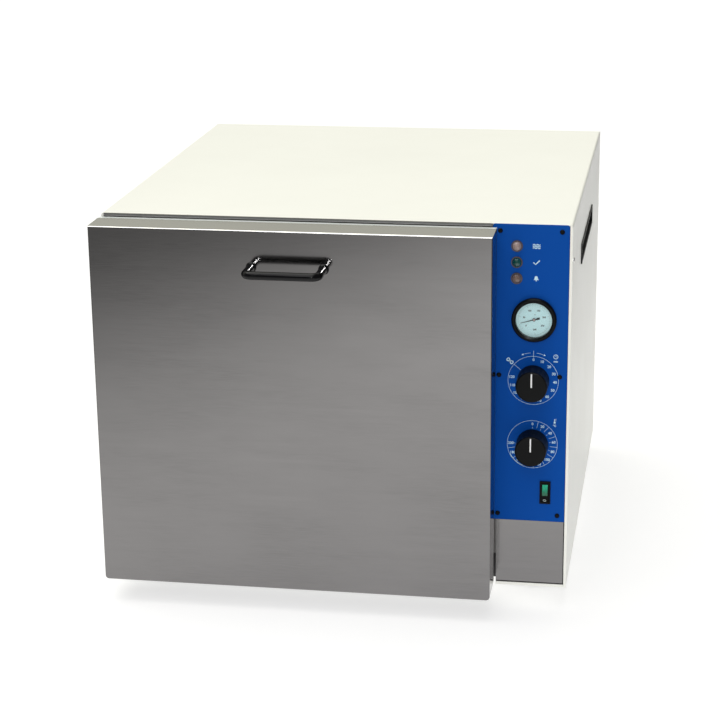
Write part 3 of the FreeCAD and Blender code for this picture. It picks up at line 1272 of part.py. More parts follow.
def control_body(label, high, width, depth):
    """A timer or thermostat behind the panel: a box with a threaded bush for its shaft."""
    body = new_body(label)
    add(body, "XZ", "frame_face", "frame_face + " + depth, middle_rect("dial_x", high, width, width))
    half = "(%s) / 2" % width
    fillet(body, "timer_corner",
           *[{"x": "dial_x %s %s" % (a, half), "z": "%s %s %s" % (high, b, half)}
             for a in "-+" for b in "-+"])
    turn(body, "Y", "dial_x", high,
         [("0", "front"), ("bush_radius", "front"), ("bush_radius", "frame_face"),
          ("0", "frame_face")])
    turn_cut(body, "Y", "dial_x", high,
             [("0", "front - overrun"), ("shaft_radius + shaft_clearance", "front - overrun"),
              ("shaft_radius + shaft_clearance", "frame_face + shaft_back + seam"),
              ("0", "frame_face + shaft_back + seam")])


def control_shaft(label, high):
    """The spindle that the knob is pressed on."""
    body = new_body(label)
    turn(body, "Y", "dial_x", high,
         [("0", "front - knob_gap - knob_bore_depth"),
          ("shaft_radius", "front - knob_gap - knob_bore_depth"),
          ("shaft_radius", "frame_face + shaft_back"), ("0", "frame_face + shaft_back")])


def control_knob(label, high):
    """A moulded knob: a tapered drum with a groove for its index line."""
    body = new_body(label)
    crown = "front - knob_gap - knob_height"
    turn(body, "Y", "dial_x", high,
         [("0", crown), ("knob_front_radius - knob_edge", crown),
          ("knob_front_radius - knob_edge * knob_round_share",
           crown + " + knob_edge * knob_round_share"),
          ("knob_front_radius", crown + " + knob_edge"),
          ("knob_radius", "front - knob_gap - knob_edge"),
          ("knob_radius", "front - knob_gap"), ("0", "front - knob_gap")])
    turn_cut(body, "Y", "dial_x", high,
             [("0", "front - knob_gap - knob_bore_depth"),
              ("shaft_radius", "front - knob_gap - knob_bore_depth"),
              ("shaft_radius", "front - knob_gap + overrun"),
              ("0", "front - knob_gap + overrun")])
    cut(body, "XZ", crown + " - overrun", crown + " + knob_groove_depth",
        middle_rect("dial_x",
                    high + " + knob_front_radius - knob_groove_inset - knob_groove_length / 2",
                    "knob_groove_width", "knob_groove_length"))


def switch_housing():
    """The rocker switch's bezel and body, snapped in the panel, with holes for its axle."""
    body = new_body("switch_housing")
    deep, high = rocker_place()
    add(body, "XZ", "front - switch_bezel", "front",
        middle_rect("switch_x", high, "switch_width", "switch_height"))
    add(body, "XZ", "front", "front + switch_depth",
        middle_rect("switch_x", high, "switch_width - switch_lap * 2",
                    "switch_height - switch_end_lap * 2"))
    cut(body, "XZ", "front - switch_bezel - overrun", "front + switch_well",
        middle_rect("switch_x", high, "switch_width - switch_wall * 2",
                    "switch_height - switch_end * 2"))
    half = "(switch_width / 2 - switch_wall + rocker_stub + rocker_gap / 2)"
    cut(body, "YZ", "switch_x - " + half, "switch_x + " + half,
        (deep, high, "rocker_axle + pin_clearance"))


def rocker_place():
    """The rocker's axis, (y, z)."""
    return "front + rocker_axis_depth", "base + switch_rise"


def rocker_spot(reach, turn_by):
    """A point of the rocker as it rests: reach from its axis, and degrees from straight
    down towards the user, on the rocker itself."""
    deep, high = rocker_place()
    angle = "((%s) + rocker_tilt) * 1deg" % turn_by
    return ("%s - (%s) * sin(%s)" % (deep, reach, angle),
            "%s - (%s) * cos(%s)" % (high, reach, angle))


def switch_rocker():
    """A shallow V of a rocker on a short axle. Its ends are round about the axis, so they
    pass the housing as it tips."""
    body = new_body("switch_rocker")
    deep, high = rocker_place()
    half = "(switch_width / 2 - switch_wall - rocker_gap)"
    lower = [rocker_spot("rocker_reach", turn_by)
             for turn_by in ("-rocker_corner / 2", "0", "rocker_corner / 2", "rocker_corner")]
    upper = [rocker_spot("rocker_reach", turn_by)
             for turn_by in ("180 - rocker_corner", "180 - rocker_corner / 2", "180",
                             "180 + rocker_corner / 2")]
    add(body, "YZ", "switch_x - " + half, "switch_x + " + half,
        [*lower, rocker_spot("rocker_valley", "90"), *upper,
         rocker_spot("rocker_root", "240"), rocker_spot("rocker_root", "300")])
    stub = "(switch_width / 2 - switch_wall + rocker_stub)"
    add(body, "YZ", "switch_x - " + stub, "switch_x + " + stub, (deep, high, "rocker_axle"))


def switch_lens():
    """The green window let into the rocker, over the shallow fold in its face."""
    body = new_body("switch_lens")
    valley = rocker_spot("rocker_valley", "90")
    ends = ((rocker_spot("rocker_reach", "rocker_corner"), "lens_low_share"),
            (rocker_spot("rocker_reach", "180 - rocker_corner"), "lens_top_share"))
    low, high = [tuple("(%s) + ((%s) - (%s)) * %s" % (from_place, to_place, from_place, share)
                       for from_place, to_place in zip(valley, corner))
                 for corner, share in ends]
    back = [low, valley, high]
    front = [("%s - lens_proud" % deep, up) for deep, up in back]
    add(body, "YZ", "switch_x - lens_width / 2", "switch_x + lens_width / 2",
        [*front, *reversed(back)])


# Grips, feet, wiring parts

def side_grip(side):
    """A moulded hand grip, pushed into the cover's slot from outside: a rim over the sheet,
    a cup behind it, and a catch above and below the cup."""
    body = new_body("side_grip_" + side)
    middle, high = "front + case_depth / 2 - grip_ahead", "top - grip_drop"
    deep = "(cover_sheet + grip_depth)"
    if side == "left":
        rim, cup = ("left - grip_lip", "left"), ("left", "left + %s + grip_wall" % deep)
        catch = ("left + cover_sheet", "left + cover_sheet + grip_catch_sheet")
        room = ("left - grip_lip - overrun", "left + " + deep)
    else:
        rim, cup = ("right", "right + grip_lip"), ("right - %s - grip_wall" % deep, "right")
        catch = ("right - cover_sheet - grip_catch_sheet", "right - cover_sheet")
        room = ("right - " + deep, "right + grip_lip + overrun")
    add(body, "YZ", *rim, middle_rect(middle, high, "grip_length + grip_rim * 2",
                                      "grip_height + grip_rim * 2"))
    add(body, "YZ", *cup, middle_rect(middle, high, "grip_length + grip_wall * 2",
                                      "grip_height + grip_wall * 2"))
    add(body, "YZ", *catch, middle_rect(middle, high, "grip_length / 2",
                                        "grip_height + grip_wall * 2 + grip_catch * 2"))
    cut(body, "YZ", *room, middle_rect(middle, high, "grip_length", "grip_height"))


def rubber_feet():
    """Four feet with a well for their screw."""
    body = new_body("rubber_feet")
    for across, deep in foot_places():
        turn(body, "Z", across, deep,
             [("foot_screw + seam / 2", "foot_well_depth"), ("foot_well", "foot_well_depth"),
              ("foot_well", "0"), ("foot_foot_radius - foot_round", "0"),
              ("foot_foot_radius", "foot_round"), ("foot_radius", "foot_height"),
              ("foot_screw + seam / 2", "foot_height")])


def foot_screws():
    """Screws through the feet and the base, each with a nut above it."""
    body = new_body("foot_screws")
    for across, deep in foot_places():
        turn(body, "Z", across, deep,
             [("0", "foot_well_depth - foot_screw_head_height"),
              ("foot_screw_head", "foot_well_depth - foot_screw_head_height"),
              ("foot_screw_head", "foot_well_depth"), ("foot_screw", "foot_well_depth"),
              ("foot_screw", "base + cover_sheet"), ("foot_nut", "base + cover_sheet"),
              ("foot_nut", "base + cover_sheet + foot_nut_height"),
              ("foot_screw", "base + cover_sheet + foot_nut_height"),
              ("foot_screw", "base + cover_sheet + foot_nut_height + foot_screw_end"),
              ("0", "base + cover_sheet + foot_nut_height + foot_screw_end")])


def sheet_screws():
    """Pan head screws: the cover's sides, the rear panel and the hinges' feet."""
    body = new_body("sheet_screws")
    for face, out, into in (("left", "-", "+"), ("right", "+", "-")):
        head = "%s %s cover_screw_head_height" % (face, out)
        turn(body, "X", *cover_screw_place(),
             [("0", head), ("cover_screw_head * crown_share", head),
              ("cover_screw_head", "%s %s cover_screw_head_height * edge_share" % (face, out)),
              ("cover_screw_head", face), ("cover_screw", face),
              ("cover_screw", "%s %s cover_screw_length" % (face, into)),
              ("0", "%s %s cover_screw_length" % (face, into))])
    for across, high in rear_screw_places():
        screw(body, across, high, "back", 1, "cover_screw_head", "cover_screw_head_height")
    foot_face = "recess_back - cover_sheet - hinge_foot_sheet"
    for across, high in hinge_screw_places():
        screw(body, across, high, foot_face, -1, "cover_screw_head", "cover_screw_head_height")


def cord_gland():
    """A moulded gland: hexagon flange and domed nose outside, threaded tail and nut inside."""
    body = new_body("cord_gland")
    across, high = rear_fitting_places()[0]
    nose = "back + gland_flange_height"
    add(body, "XZ", "back", nose, hexagon(across, high, "gland_flange"))
    add(body, "XZ", "back - gland_tail", "back", (across, high, "gland_thread"))
    add(body, "XZ", "back - rear_sheet - locknut_height", "back - rear_sheet",
        hexagon(across, high, "gland_flange"))
    turn(body, "Y", across, high,
         [("0", nose), ("gland_nose_radius", nose),
          ("gland_nose_radius", nose + " + gland_nose_height / 2"),
          ("gland_bore + gland_nose_rim", nose + " + gland_nose_height"),
          ("0", nose + " + gland_nose_height")])
    cut(body, "XZ", "back - gland_tail - overrun", nose + " + gland_nose_height + overrun",
        (across, high, "gland_bore"))


def hexagon(across, high, radius):
    """Corners of a hexagon, flats level."""
    return [("%s + %s * cos(%ddeg)" % (across, radius, turn_by),
             "%s + %s * sin(%ddeg)" % (high, radius, turn_by)) for turn_by in range(0, 360, 60)]


def fuse_holder():
    """A panel fuse holder: barrel inside, slotted cap outside."""
    body = new_body("fuse_holder")
    across, high = rear_fitting_places()[1]
    turn(body, "Y", across, high,
         [("0", "back - fuse_barrel_length"), ("fuse_barrel", "back - fuse_barrel_length"),
          ("fuse_barrel", "back"), ("fuse_flange", "back"),
          ("fuse_flange", "back + fuse_flange_height"), ("fuse_cap", "back + fuse_flange_height"),
          ("fuse_cap", "back + fuse_cap_height"), ("0", "back + fuse_cap_height")])
    cut(body, "XZ", "back + fuse_cap_height - fuse_slot_depth",
        "back + fuse_cap_height + overrun",
        middle_rect(across, high, "fuse_flange * 2", "fuse_slot_width"))


def build_all():
    outer_cover()
    base_pan()
    front_frame()
    front_fascia()
    control_panel()
    kick_plate()
    rear_panel()
    compartment_wall()
    chamber_liner()
    chamber_insulation()
    for side in ("left", "right"):
        tray_rack(side)
        side_grip(side)
    tray_runners()
    tray("lower_tray", 1)
    tray("upper_tray", 2)
    element_guard()
    heating_element()
    element_seals()
    element_clips()
    vent_tube()
    probe_sleeve()
    bulb_clips()
    probe("thermostat", "frame_face + thermostat_depth", "base + thermostat_rise")
    probe("thermometer", "front + gauge_barrel_length", "base + gauge_rise")
    door_skin()
    door_inner_panel()
    door_insulation()
    door_gasket()
    hinge_brackets()
    hinge_clevises()
    hinge_pins()
    door_magnets()
    door_strikes()
    door_handle()
    handle_screws()
    panel_screws()
    lamp_bodies()
    for label, high in zip(("heating_lamp_lens", "ready_lamp_lens", "alarm_lamp_lens"),
                           lamp_heights()):
        lamp_lens(label, high)
    thermometer_case()
    thermometer_dial()
    thermometer_glass()
    thermometer_pointer()
    for name, width, depth in (("timer", "timer_size", "timer_depth"),
                               ("thermostat", "thermostat_width", "thermostat_depth")):
        high = "base + %s_rise" % name
        control_body(name + "_body", high, width, depth)
        control_shaft(name + "_shaft", high)
        control_knob(name + "_knob", high)
    switch_housing()
    switch_rocker()
    switch_lens()
    rubber_feet()
    foot_screws()
    sheet_screws()
    cord_gland()
    fuse_holder()


def faults():
    """Everything that is wrong with the document, as lines of text."""
    found = []
    for item in doc.Objects:
        if "Invalid" in item.State or "Error" in item.State:
            found.append("%s is %s, %s" % (item.Name, item.State, item.getStatusString()))
            continue
        cutting = item.TypeId in ("PartDesign::Pocket", "PartDesign::Groove")
        if cutting and not item.Shape.isNull() and item.BaseFeature \
                and item.Shape.Volume >= item.BaseFeature.Shape.Volume:
            found.append("%s cuts nothing" % item.Name)
    for label, part in SUBPARTS.items():
        if part.Shape.isNull() or not part.Shape.isValid() or not part.Shape.Solids:
            found.append("%s has no sound shape" % label)
    return found


build_all()
doc.recompute()
wrong = faults()
if wrong:
    raise SystemExit("\n".join(wrong))
os.makedirs("parts", exist_ok=True)
for node, part in SUBPARTS.items():
    part.Shape.exportStep(os.path.join("parts", node + ".step"))
print(len(SUBPARTS), "nodes,", sum(len(part.Shape.Solids) for part in SUBPARTS.values()), "solids")
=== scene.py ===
import json
import math

import bmesh
import bpy
from mathutils import Matrix, Vector


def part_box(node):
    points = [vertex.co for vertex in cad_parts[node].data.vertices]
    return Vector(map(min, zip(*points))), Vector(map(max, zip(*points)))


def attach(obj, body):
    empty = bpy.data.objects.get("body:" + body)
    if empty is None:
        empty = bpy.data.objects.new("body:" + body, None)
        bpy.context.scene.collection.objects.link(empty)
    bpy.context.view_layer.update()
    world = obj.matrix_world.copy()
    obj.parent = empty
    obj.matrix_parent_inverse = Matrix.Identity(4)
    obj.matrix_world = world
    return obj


MM = 0.001

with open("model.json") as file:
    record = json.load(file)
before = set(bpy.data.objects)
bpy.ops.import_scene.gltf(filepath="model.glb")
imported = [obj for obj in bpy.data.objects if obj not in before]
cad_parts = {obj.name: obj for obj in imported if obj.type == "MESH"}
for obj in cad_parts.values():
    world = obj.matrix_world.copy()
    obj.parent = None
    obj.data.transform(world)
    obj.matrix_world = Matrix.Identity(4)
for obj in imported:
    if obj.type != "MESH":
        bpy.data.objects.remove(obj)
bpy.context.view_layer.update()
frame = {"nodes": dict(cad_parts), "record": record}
nodes = frame["nodes"]


def low_corner(node):
    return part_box(node)[0]


def middle(node):
    low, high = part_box(node)
    return (low + high) / 2


# Places that the frame gives
COVER_LOW = low_corner("outer_cover")
PANEL_LOW = low_corner("control_panel")
FRONT = PANEL_LOW.y

# Directions in the frame, and the turn that stands a drawn plane up to face the front
RIGHT, UP, UP_AND_OUT = (1, 0, 0), (0, 0, 1), (0, -0.7071, 0.7071)
STAND_UP = Matrix.Rotation(math.pi / 2, 4, "X")


def in_scene(name, data):
    """A new object in the scene that holds some data."""
    item = bpy.data.objects.new(name, data)
    bpy.context.scene.collection.objects.link(item)
    return item


# Camera: the photograph's own viewpoint, from the cabinet's front lower left corner, with
# turns in radians and the lens in millimetres
CAMERA_FROM_CORNER = Vector((0.7060, -2.2626, 0.9903))
YAW, PITCH, ROLL = 0.17059, 0.29872, 0.0115
LENS, SENSOR, CLIP_END = 99.24, 36.0, 60


def camera():
    data = bpy.data.cameras.new("camera")
    data.lens, data.sensor_width, data.clip_end = LENS, SENSOR, CLIP_END
    eye = in_scene("camera", data)
    turn = (Matrix.Rotation(YAW, 4, "Z") @ Matrix.Rotation(-PITCH, 4, "X")
            @ Matrix.Rotation(ROLL, 4, "Y"))
    corner = Vector((COVER_LOW.x, FRONT, COVER_LOW.z))
    eye.matrix_world = Matrix.Translation(corner + CAMERA_FROM_CORNER) @ turn @ STAND_UP
    bpy.context.scene.camera = eye


# Light. The sun's angles are in degrees. Each panel of light has its place and target, its
# size in metres and its power in watts.
SUN_STRENGTH, SUN_SPREAD, SUN_TINT = 1.9, 60, (1.0, 0.995, 0.97)
SUN_TURN = (4, -14, 0)
LIGHT_PANELS = {
    "front_light": ((0.1, -2.6, 2.4), (0, 0, 0.25), (1.6, 1.0), 14),
    "flash": ((0.44, -2.55, 1.1), (0, -0.2, 0.25), (0.16, 0.1), 15),
}

# The room's tones change toward its bright side, between two shares of that direction
ROOM_DARK, ROOM_BRIGHT = (0.13, 0.13, 0.135), (0.88, 0.88, 0.76)
BRIGHT_SIDE = (-0.5, 0.84, 0.2), 0.1, 0.85

# Painted shade: the floor's colour and glow grow dimmer along two directions, each between two
# distances.
# Each socket has its tone at the object, far out at the right, and far ahead.
FLOOR_REACH = 30.0
DIM_AHEAD, DIM_ASIDE = ((-0.95, -0.56, 0), 0.6, 2.1), (RIGHT, 0.42, 1.5)
FLOOR_TONES = ("Base Color", 0.46, 0.1, 0.12), ("Emission Color", 1.0, 0.12, 0.2)


def panel_of_light(name, place, target, size, power):
    data = bpy.data.lights.new(name, "AREA")
    data.shape = "RECTANGLE"
    data.size, data.size_y = size
    data.energy = power
    lamp = in_scene(name, data)
    lamp.location = place
    lamp.rotation_euler = (Vector(target) - Vector(place)).to_track_quat("-Z", "Y").to_euler()


def room():
    """A dim room in front of the object and a bright wall behind it."""
    world = bpy.data.worlds.new("room")
    world.use_nodes = True
    tree = world.node_tree
    share = direction_share(tree, "Generated", *BRIGHT_SIDE)
    tree.links.new(mixed(tree, share, ROOM_DARK, ROOM_BRIGHT),
                   tree.nodes["Background"].inputs["Color"])
    bpy.context.scene.world = world


def floor():
    """A lit table: white under and behind the object, with painted shade that makes it dimmer far
    ahead and at the right.
    """
    mesh = bpy.data.meshes.new("floor")
    corners = [(x * FLOOR_REACH, y * FLOOR_REACH, 0)
               for x, y in ((-1, -1), (1, -1), (1, 1), (-1, 1))]
    mesh.from_pydata(corners, [], [(0, 1, 2, 3)])
    table = in_scene("floor", mesh)
    paper, tree, shader = shader_of("floor_paper", (0.8, 0.8, 0.8), Emission_Strength=0.62,
                                    Roughness=0.95, Specular_IOR_Level=0.1)
    ahead = direction_share(tree, "Object", *DIM_AHEAD)
    aside = direction_share(tree, "Object", *DIM_ASIDE)
    for socket, near, side, far in FLOOR_TONES:
        beside = mixed(tree, aside, (near,) * 3, (side,) * 3)
        tree.links.new(mixed(tree, ahead, beside, (far,) * 3), shader.inputs[socket])
    mesh.materials.append(paper)


def studio():
    """A soft ceiling light, a front light and a small flash beside the camera."""
    bpy.context.scene.view_settings.view_transform = "Standard"
    room()
    data = bpy.data.lights.new("ceiling", "SUN")
    data.energy, data.angle, data.color = SUN_STRENGTH, math.radians(SUN_SPREAD), SUN_TINT
    in_scene("ceiling", data).rotation_euler = [math.radians(turn) for turn in SUN_TURN]
    for name, settings in LIGHT_PANELS.items():
        panel_of_light(name, *settings)
    floor()


# Node groups of the materials. Each pattern lies in the object's own coordinates, in metres.

def coordinates(tree, output="Object"):
    return tree.nodes.new("ShaderNodeTexCoord").outputs[output]


def shader_of(name, color, **values):
    """A material with a plain start: its colour, and sockets named with underscores."""
    material = bpy.data.materials.new(name)
    material.use_nodes = True
    shader = material.node_tree.nodes["Principled BSDF"]
    shader.inputs["Base Color"].default_value = (*color, 1)
    for key, value in values.items():
        shader.inputs[key.replace("_", " ")].default_value = value
    return material, material.node_tree, shader


def direction_share(tree, output, toward, start, end):
    """How far a direction or place lies toward a vector: smoothly from 0 to 1."""
    along = tree.nodes.new("ShaderNodeVectorMath")
    along.operation = "DOT_PRODUCT"
    along.inputs[1].default_value = toward
    tree.links.new(coordinates(tree, output), along.inputs[0])
    ramp = tree.nodes.new("ShaderNodeMapRange")
    ramp.interpolation_type = "SMOOTHSTEP"
    ramp.inputs["From Min"].default_value = start
    ramp.inputs["From Max"].default_value = end
    tree.links.new(along.outputs["Value"], ramp.inputs["Value"])
    return ramp.outputs["Result"]


def noise(tree, scale, stretch=(1, 1, 1), detail=3.0):
    """Noise over the object: scale is in features per metre along an unstretched axis."""
    mapping = tree.nodes.new("ShaderNodeMapping")
    mapping.inputs["Scale"].default_value = stretch
    texture = tree.nodes.new("ShaderNodeTexNoise")
    texture.inputs["Scale"].default_value = scale
    texture.inputs["Detail"].default_value = detail
    tree.links.new(coordinates(tree), mapping.inputs["Vector"])
    tree.links.new(mapping.outputs["Vector"], texture.inputs["Vector"])
    return texture.outputs["Fac"]


def spread(tree, value, low, high, start=0.3, end=0.7):
    """Maps a value from start to end, where noise mostly lies, onto low to high."""
    node = tree.nodes.new("ShaderNodeMapRange")
    for key, limit in (("From Min", start), ("From Max", end), ("To Min", low), ("To Max", high)):
        node.inputs[key].default_value = limit
    tree.links.new(value, node.inputs["Value"])
    return node.outputs["Result"]


def mixed(tree, factor, first, second):
    """Mixes two colours, each a constant or another node's output."""
    node = tree.nodes.new("ShaderNodeMix")
    node.data_type = "RGBA"
    factor_socket, first_socket, second_socket, result = 0, 6, 7, 2
    tree.links.new(factor, node.inputs[factor_socket])
    for place, color in ((first_socket, first), (second_socket, second)):
        if isinstance(color, tuple):
            node.inputs[place].default_value = (*color, 1)
        else:
            tree.links.new(color, node.inputs[place])
    return node.outputs[result]


def summed(tree, first, second):
    node = tree.nodes.new("ShaderNodeMath")
    node.operation = "ADD"
    tree.links.new(first, node.inputs[0])
    tree.links.new(second, node.inputs[1])
    return node.outputs["Value"]


def bumped(tree, shader, height, strength, depth):
    """Relief on a shader, its depth in metres."""
    node = tree.nodes.new("ShaderNodeBump")
    node.inputs["Strength"].default_value = strength
    node.inputs["Distance"].default_value = depth
    tree.links.new(height, node.inputs["Height"])
    tree.links.new(node.outputs["Normal"], shader.inputs["Normal"])


def axis_distance(tree, centre):
    """Distance from an axis along Y that passes through a point, in metres."""
    mapping = tree.nodes.new("ShaderNodeMapping")
    mapping.inputs["Location"].default_value = (-centre.x, 0, -centre.z)
    mapping.inputs["Scale"].default_value = (1, 0, 1)
    length = tree.nodes.new("ShaderNodeVectorMath")
    length.operation = "LENGTH"
    tree.links.new(coordinates(tree), mapping.inputs["Vector"])
    tree.links.new(mapping.outputs["Vector"], length.inputs[0])
    return length.outputs["Value"]


def scaled(color, share):
    return tuple(part * share for part in color)


# Kinds of finish. The scales of their patterns are in features per metre.
SCRATCHES, BRUSH_BANDS, WIDE_CLOUDS, SMALL_CLOUDS, SMEARS = 2200, 150, 4.5, 9, 14
PAINT_PATCHES, DULL_SPOTS, ORANGE_PEEL = 4, 30, 700
PLASTIC_PATCHES, PLASTIC_SHEEN, PLASTIC_GRAIN = 40, 60, 1800
WOOL_LAYERS, LENS_CELLS, PANE_HAZE, INK_WEAR = 260, 900, 60, 500
NEEDLE_WEAR, NEEDLE_SHEEN, SWITCH_STREAKS = 900, 300, 700


def brushed(name, color, grain, rough, cloud=0.12, streak=0.12, scratch=0.1):
    """Brushed sheet. Its grain is the stretch that lays the scratches along one axis, rough
    is its range of roughness, and the rest is how strong its patches, lines and relief are."""
    material, tree, shader = shader_of(name, color, Metallic=1.0)
    bands = spread(tree, noise(tree, BRUSH_BANDS, grain, detail=4), 0, 1)
    clouds = mixed(tree, bands, noise(tree, WIDE_CLOUDS, (1, 1, 2.2), detail=6),
                   noise(tree, SMALL_CLOUDS, (1, 1, 3)))
    patches = spread(tree, clouds, 0, 1, 0.35, 0.65)
    fine = noise(tree, SCRATCHES, grain)
    tinted = mixed(tree, patches, scaled(color, 1 - cloud), scaled(color, 1 + cloud))
    tree.links.new(mixed(tree, spread(tree, fine, 0, 1), tinted, scaled(color, 1 + streak)),
                   shader.inputs["Base Color"])
    smears = spread(tree, noise(tree, SMEARS, detail=5), -0.01, 0.02)
    tree.links.new(summed(tree, spread(tree, fine, *rough), smears), shader.inputs["Roughness"])
    bumped(tree, shader, fine, scratch, 0.01 * MM)
    return material


def painted_light_facing(material, toward, start, end, color, metal=None):
    """Paints light onto a sheet where it faces a direction: a lighter colour there as a painted
    highlight, and where metal is given, makes it duller there too.
    """
    tree = material.node_tree
    shader = tree.nodes["Principled BSDF"]
    plain = shader.inputs["Base Color"].links[0].from_socket
    share = direction_share(tree, "Normal", toward, start, end)
    tree.links.new(mixed(tree, share, plain, color), shader.inputs["Base Color"])
    if metal is not None:
        tree.links.new(spread(tree, share, 1.0, metal, 0, 1), shader.inputs["Metallic"])


def enamel(name, color, rough=0.32, coat=0.2, gloss=0.4):
    """Stoved paint: faint orange peel, soft patches of tone and a few dull spots."""
    material, tree, shader = shader_of(name, color, Coat_Weight=coat, Coat_Roughness=0.12,
                                       Specular_IOR_Level=gloss)
    patches = spread(tree, noise(tree, PAINT_PATCHES, detail=5), 0, 1)
    tree.links.new(mixed(tree, patches, scaled(color, 0.965), color),
                   shader.inputs["Base Color"])
    dull = spread(tree, noise(tree, DULL_SPOTS, detail=6), rough - 0.04, rough + 0.06)
    tree.links.new(dull, shader.inputs["Roughness"])
    bumped(tree, shader, noise(tree, ORANGE_PEEL, detail=2), 0.15, 0.03 * MM)
    return material


def moulded(name, color, rough, grain=PLASTIC_GRAIN, depth=0.04 * MM, gloss=0.5):
    """Moulded plastic or rubber with a fine grain."""
    material, tree, shader = shader_of(name, color, Specular_IOR_Level=gloss)
    patches = spread(tree, noise(tree, PLASTIC_PATCHES, detail=5), 0, 1)
    tree.links.new(mixed(tree, patches, scaled(color, 0.8), scaled(color, 1.25)),
                   shader.inputs["Base Color"])
    sheen = spread(tree, noise(tree, PLASTIC_SHEEN, detail=4), rough - 0.06, rough + 0.08)
    tree.links.new(sheen, shader.inputs["Roughness"])
    bumped(tree, shader, noise(tree, grain), 0.25, depth)
    return material


def fibrous(name, color):
    """Mineral wool: matted layers with loose threads."""
    material, tree, shader = shader_of(name, color, Roughness=0.95, Sheen_Weight=0.3)
    layers = noise(tree, WOOL_LAYERS, (1, 1, 6), detail=8)
    tree.links.new(mixed(tree, spread(tree, layers, 0, 1), scaled(color, 0.6), color),
                   shader.inputs["Base Color"])
    bumped(tree, shader, layers, 0.8, 1 * MM)
    return material


def lens(name, color, glow):
    """A tinted lens: lighter where a ribbed reflector behind it shows through."""
    material, tree, shader = shader_of(name, color, Roughness=0.12, IOR=1.49,
                                       Coat_Weight=0.6, Coat_Roughness=0.05)
    cells = tree.nodes.new("ShaderNodeTexVoronoi")
    cells.inputs["Scale"].default_value = LENS_CELLS
    tree.links.new(coordinates(tree), cells.inputs["Vector"])
    facets = spread(tree, cells.outputs["Distance"], 0, 1, 0.1, 0.8)
    tree.links.new(mixed(tree, facets, glow, color), shader.inputs["Base Color"])
    bumped(tree, shader, cells.outputs["Distance"], 0.2, 0.2 * MM)
    return material


def clear_pane(name):
    """A thin clear pane: most light passes, and its gloss stays."""
    material, tree, shader = shader_of(name, (0.5, 0.6, 0.6), Alpha=0.05, Coat_Weight=0.7,
                                       Coat_Roughness=0.02)
    tree.links.new(spread(tree, noise(tree, PANE_HAZE, detail=4), 0.02, 0.05),
                   shader.inputs["Roughness"])
    return material


def needle(name, centre):
    """A black pointer with a bare copper-pink hub."""
    material, tree, shader = shader_of(name, (0.01, 0.01, 0.012), Specular_IOR_Level=0.15)
    hub_radius, blend_radius = 1.1 * MM, 1.25 * MM
    hub = spread(tree, axis_distance(tree, centre), 1, 0, hub_radius, blend_radius)
    worn = mixed(tree, spread(tree, noise(tree, NEEDLE_WEAR), 0, 1), (0.003, 0.003, 0.004),
                 (0.008, 0.008, 0.009))
    tree.links.new(mixed(tree, hub, worn, (0.5, 0.4, 0.38)), shader.inputs["Base Color"])
    tree.links.new(hub, shader.inputs["Metallic"])
    tree.links.new(spread(tree, noise(tree, NEEDLE_SHEEN), 0.3, 0.4), shader.inputs["Roughness"])
    return material


def lit_green(name, node):
    """The rocker's green window: its upper half catches the light."""
    low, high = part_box(node)
    material, tree, shader = shader_of(name, (0.0, 0.2, 0.1), Roughness=0.18,
                                       Coat_Weight=0.4, Coat_Roughness=0.06)
    share = direction_share(tree, "Object", UP, low.z, high.z)
    streaks = spread(tree, noise(tree, SWITCH_STREAKS, (1, 1, 0.2)), 0, 1)
    lower = mixed(tree, streaks, (0.003, 0.08, 0.03), (0.006, 0.17, 0.09))
    upper = mixed(tree, streaks, (0.003, 0.36, 0.19), (0.02, 0.55, 0.32))
    tree.links.new(mixed(tree, share, lower, upper), shader.inputs["Base Color"])
    bumped(tree, shader, streaks, 0.1, 0.1 * MM)
    return material


def printed(name, color):
    """Screen-printed ink, slightly worn."""
    material, tree, shader = shader_of(name, color)
    worn = spread(tree, noise(tree, INK_WEAR, detail=4), 0, 1)
    tree.links.new(mixed(tree, worn, scaled(color, 0.92), color), shader.inputs["Base Color"])
    tree.links.new(spread(tree, worn, 0.4, 0.55, 0, 1), shader.inputs["Roughness"])
    return material


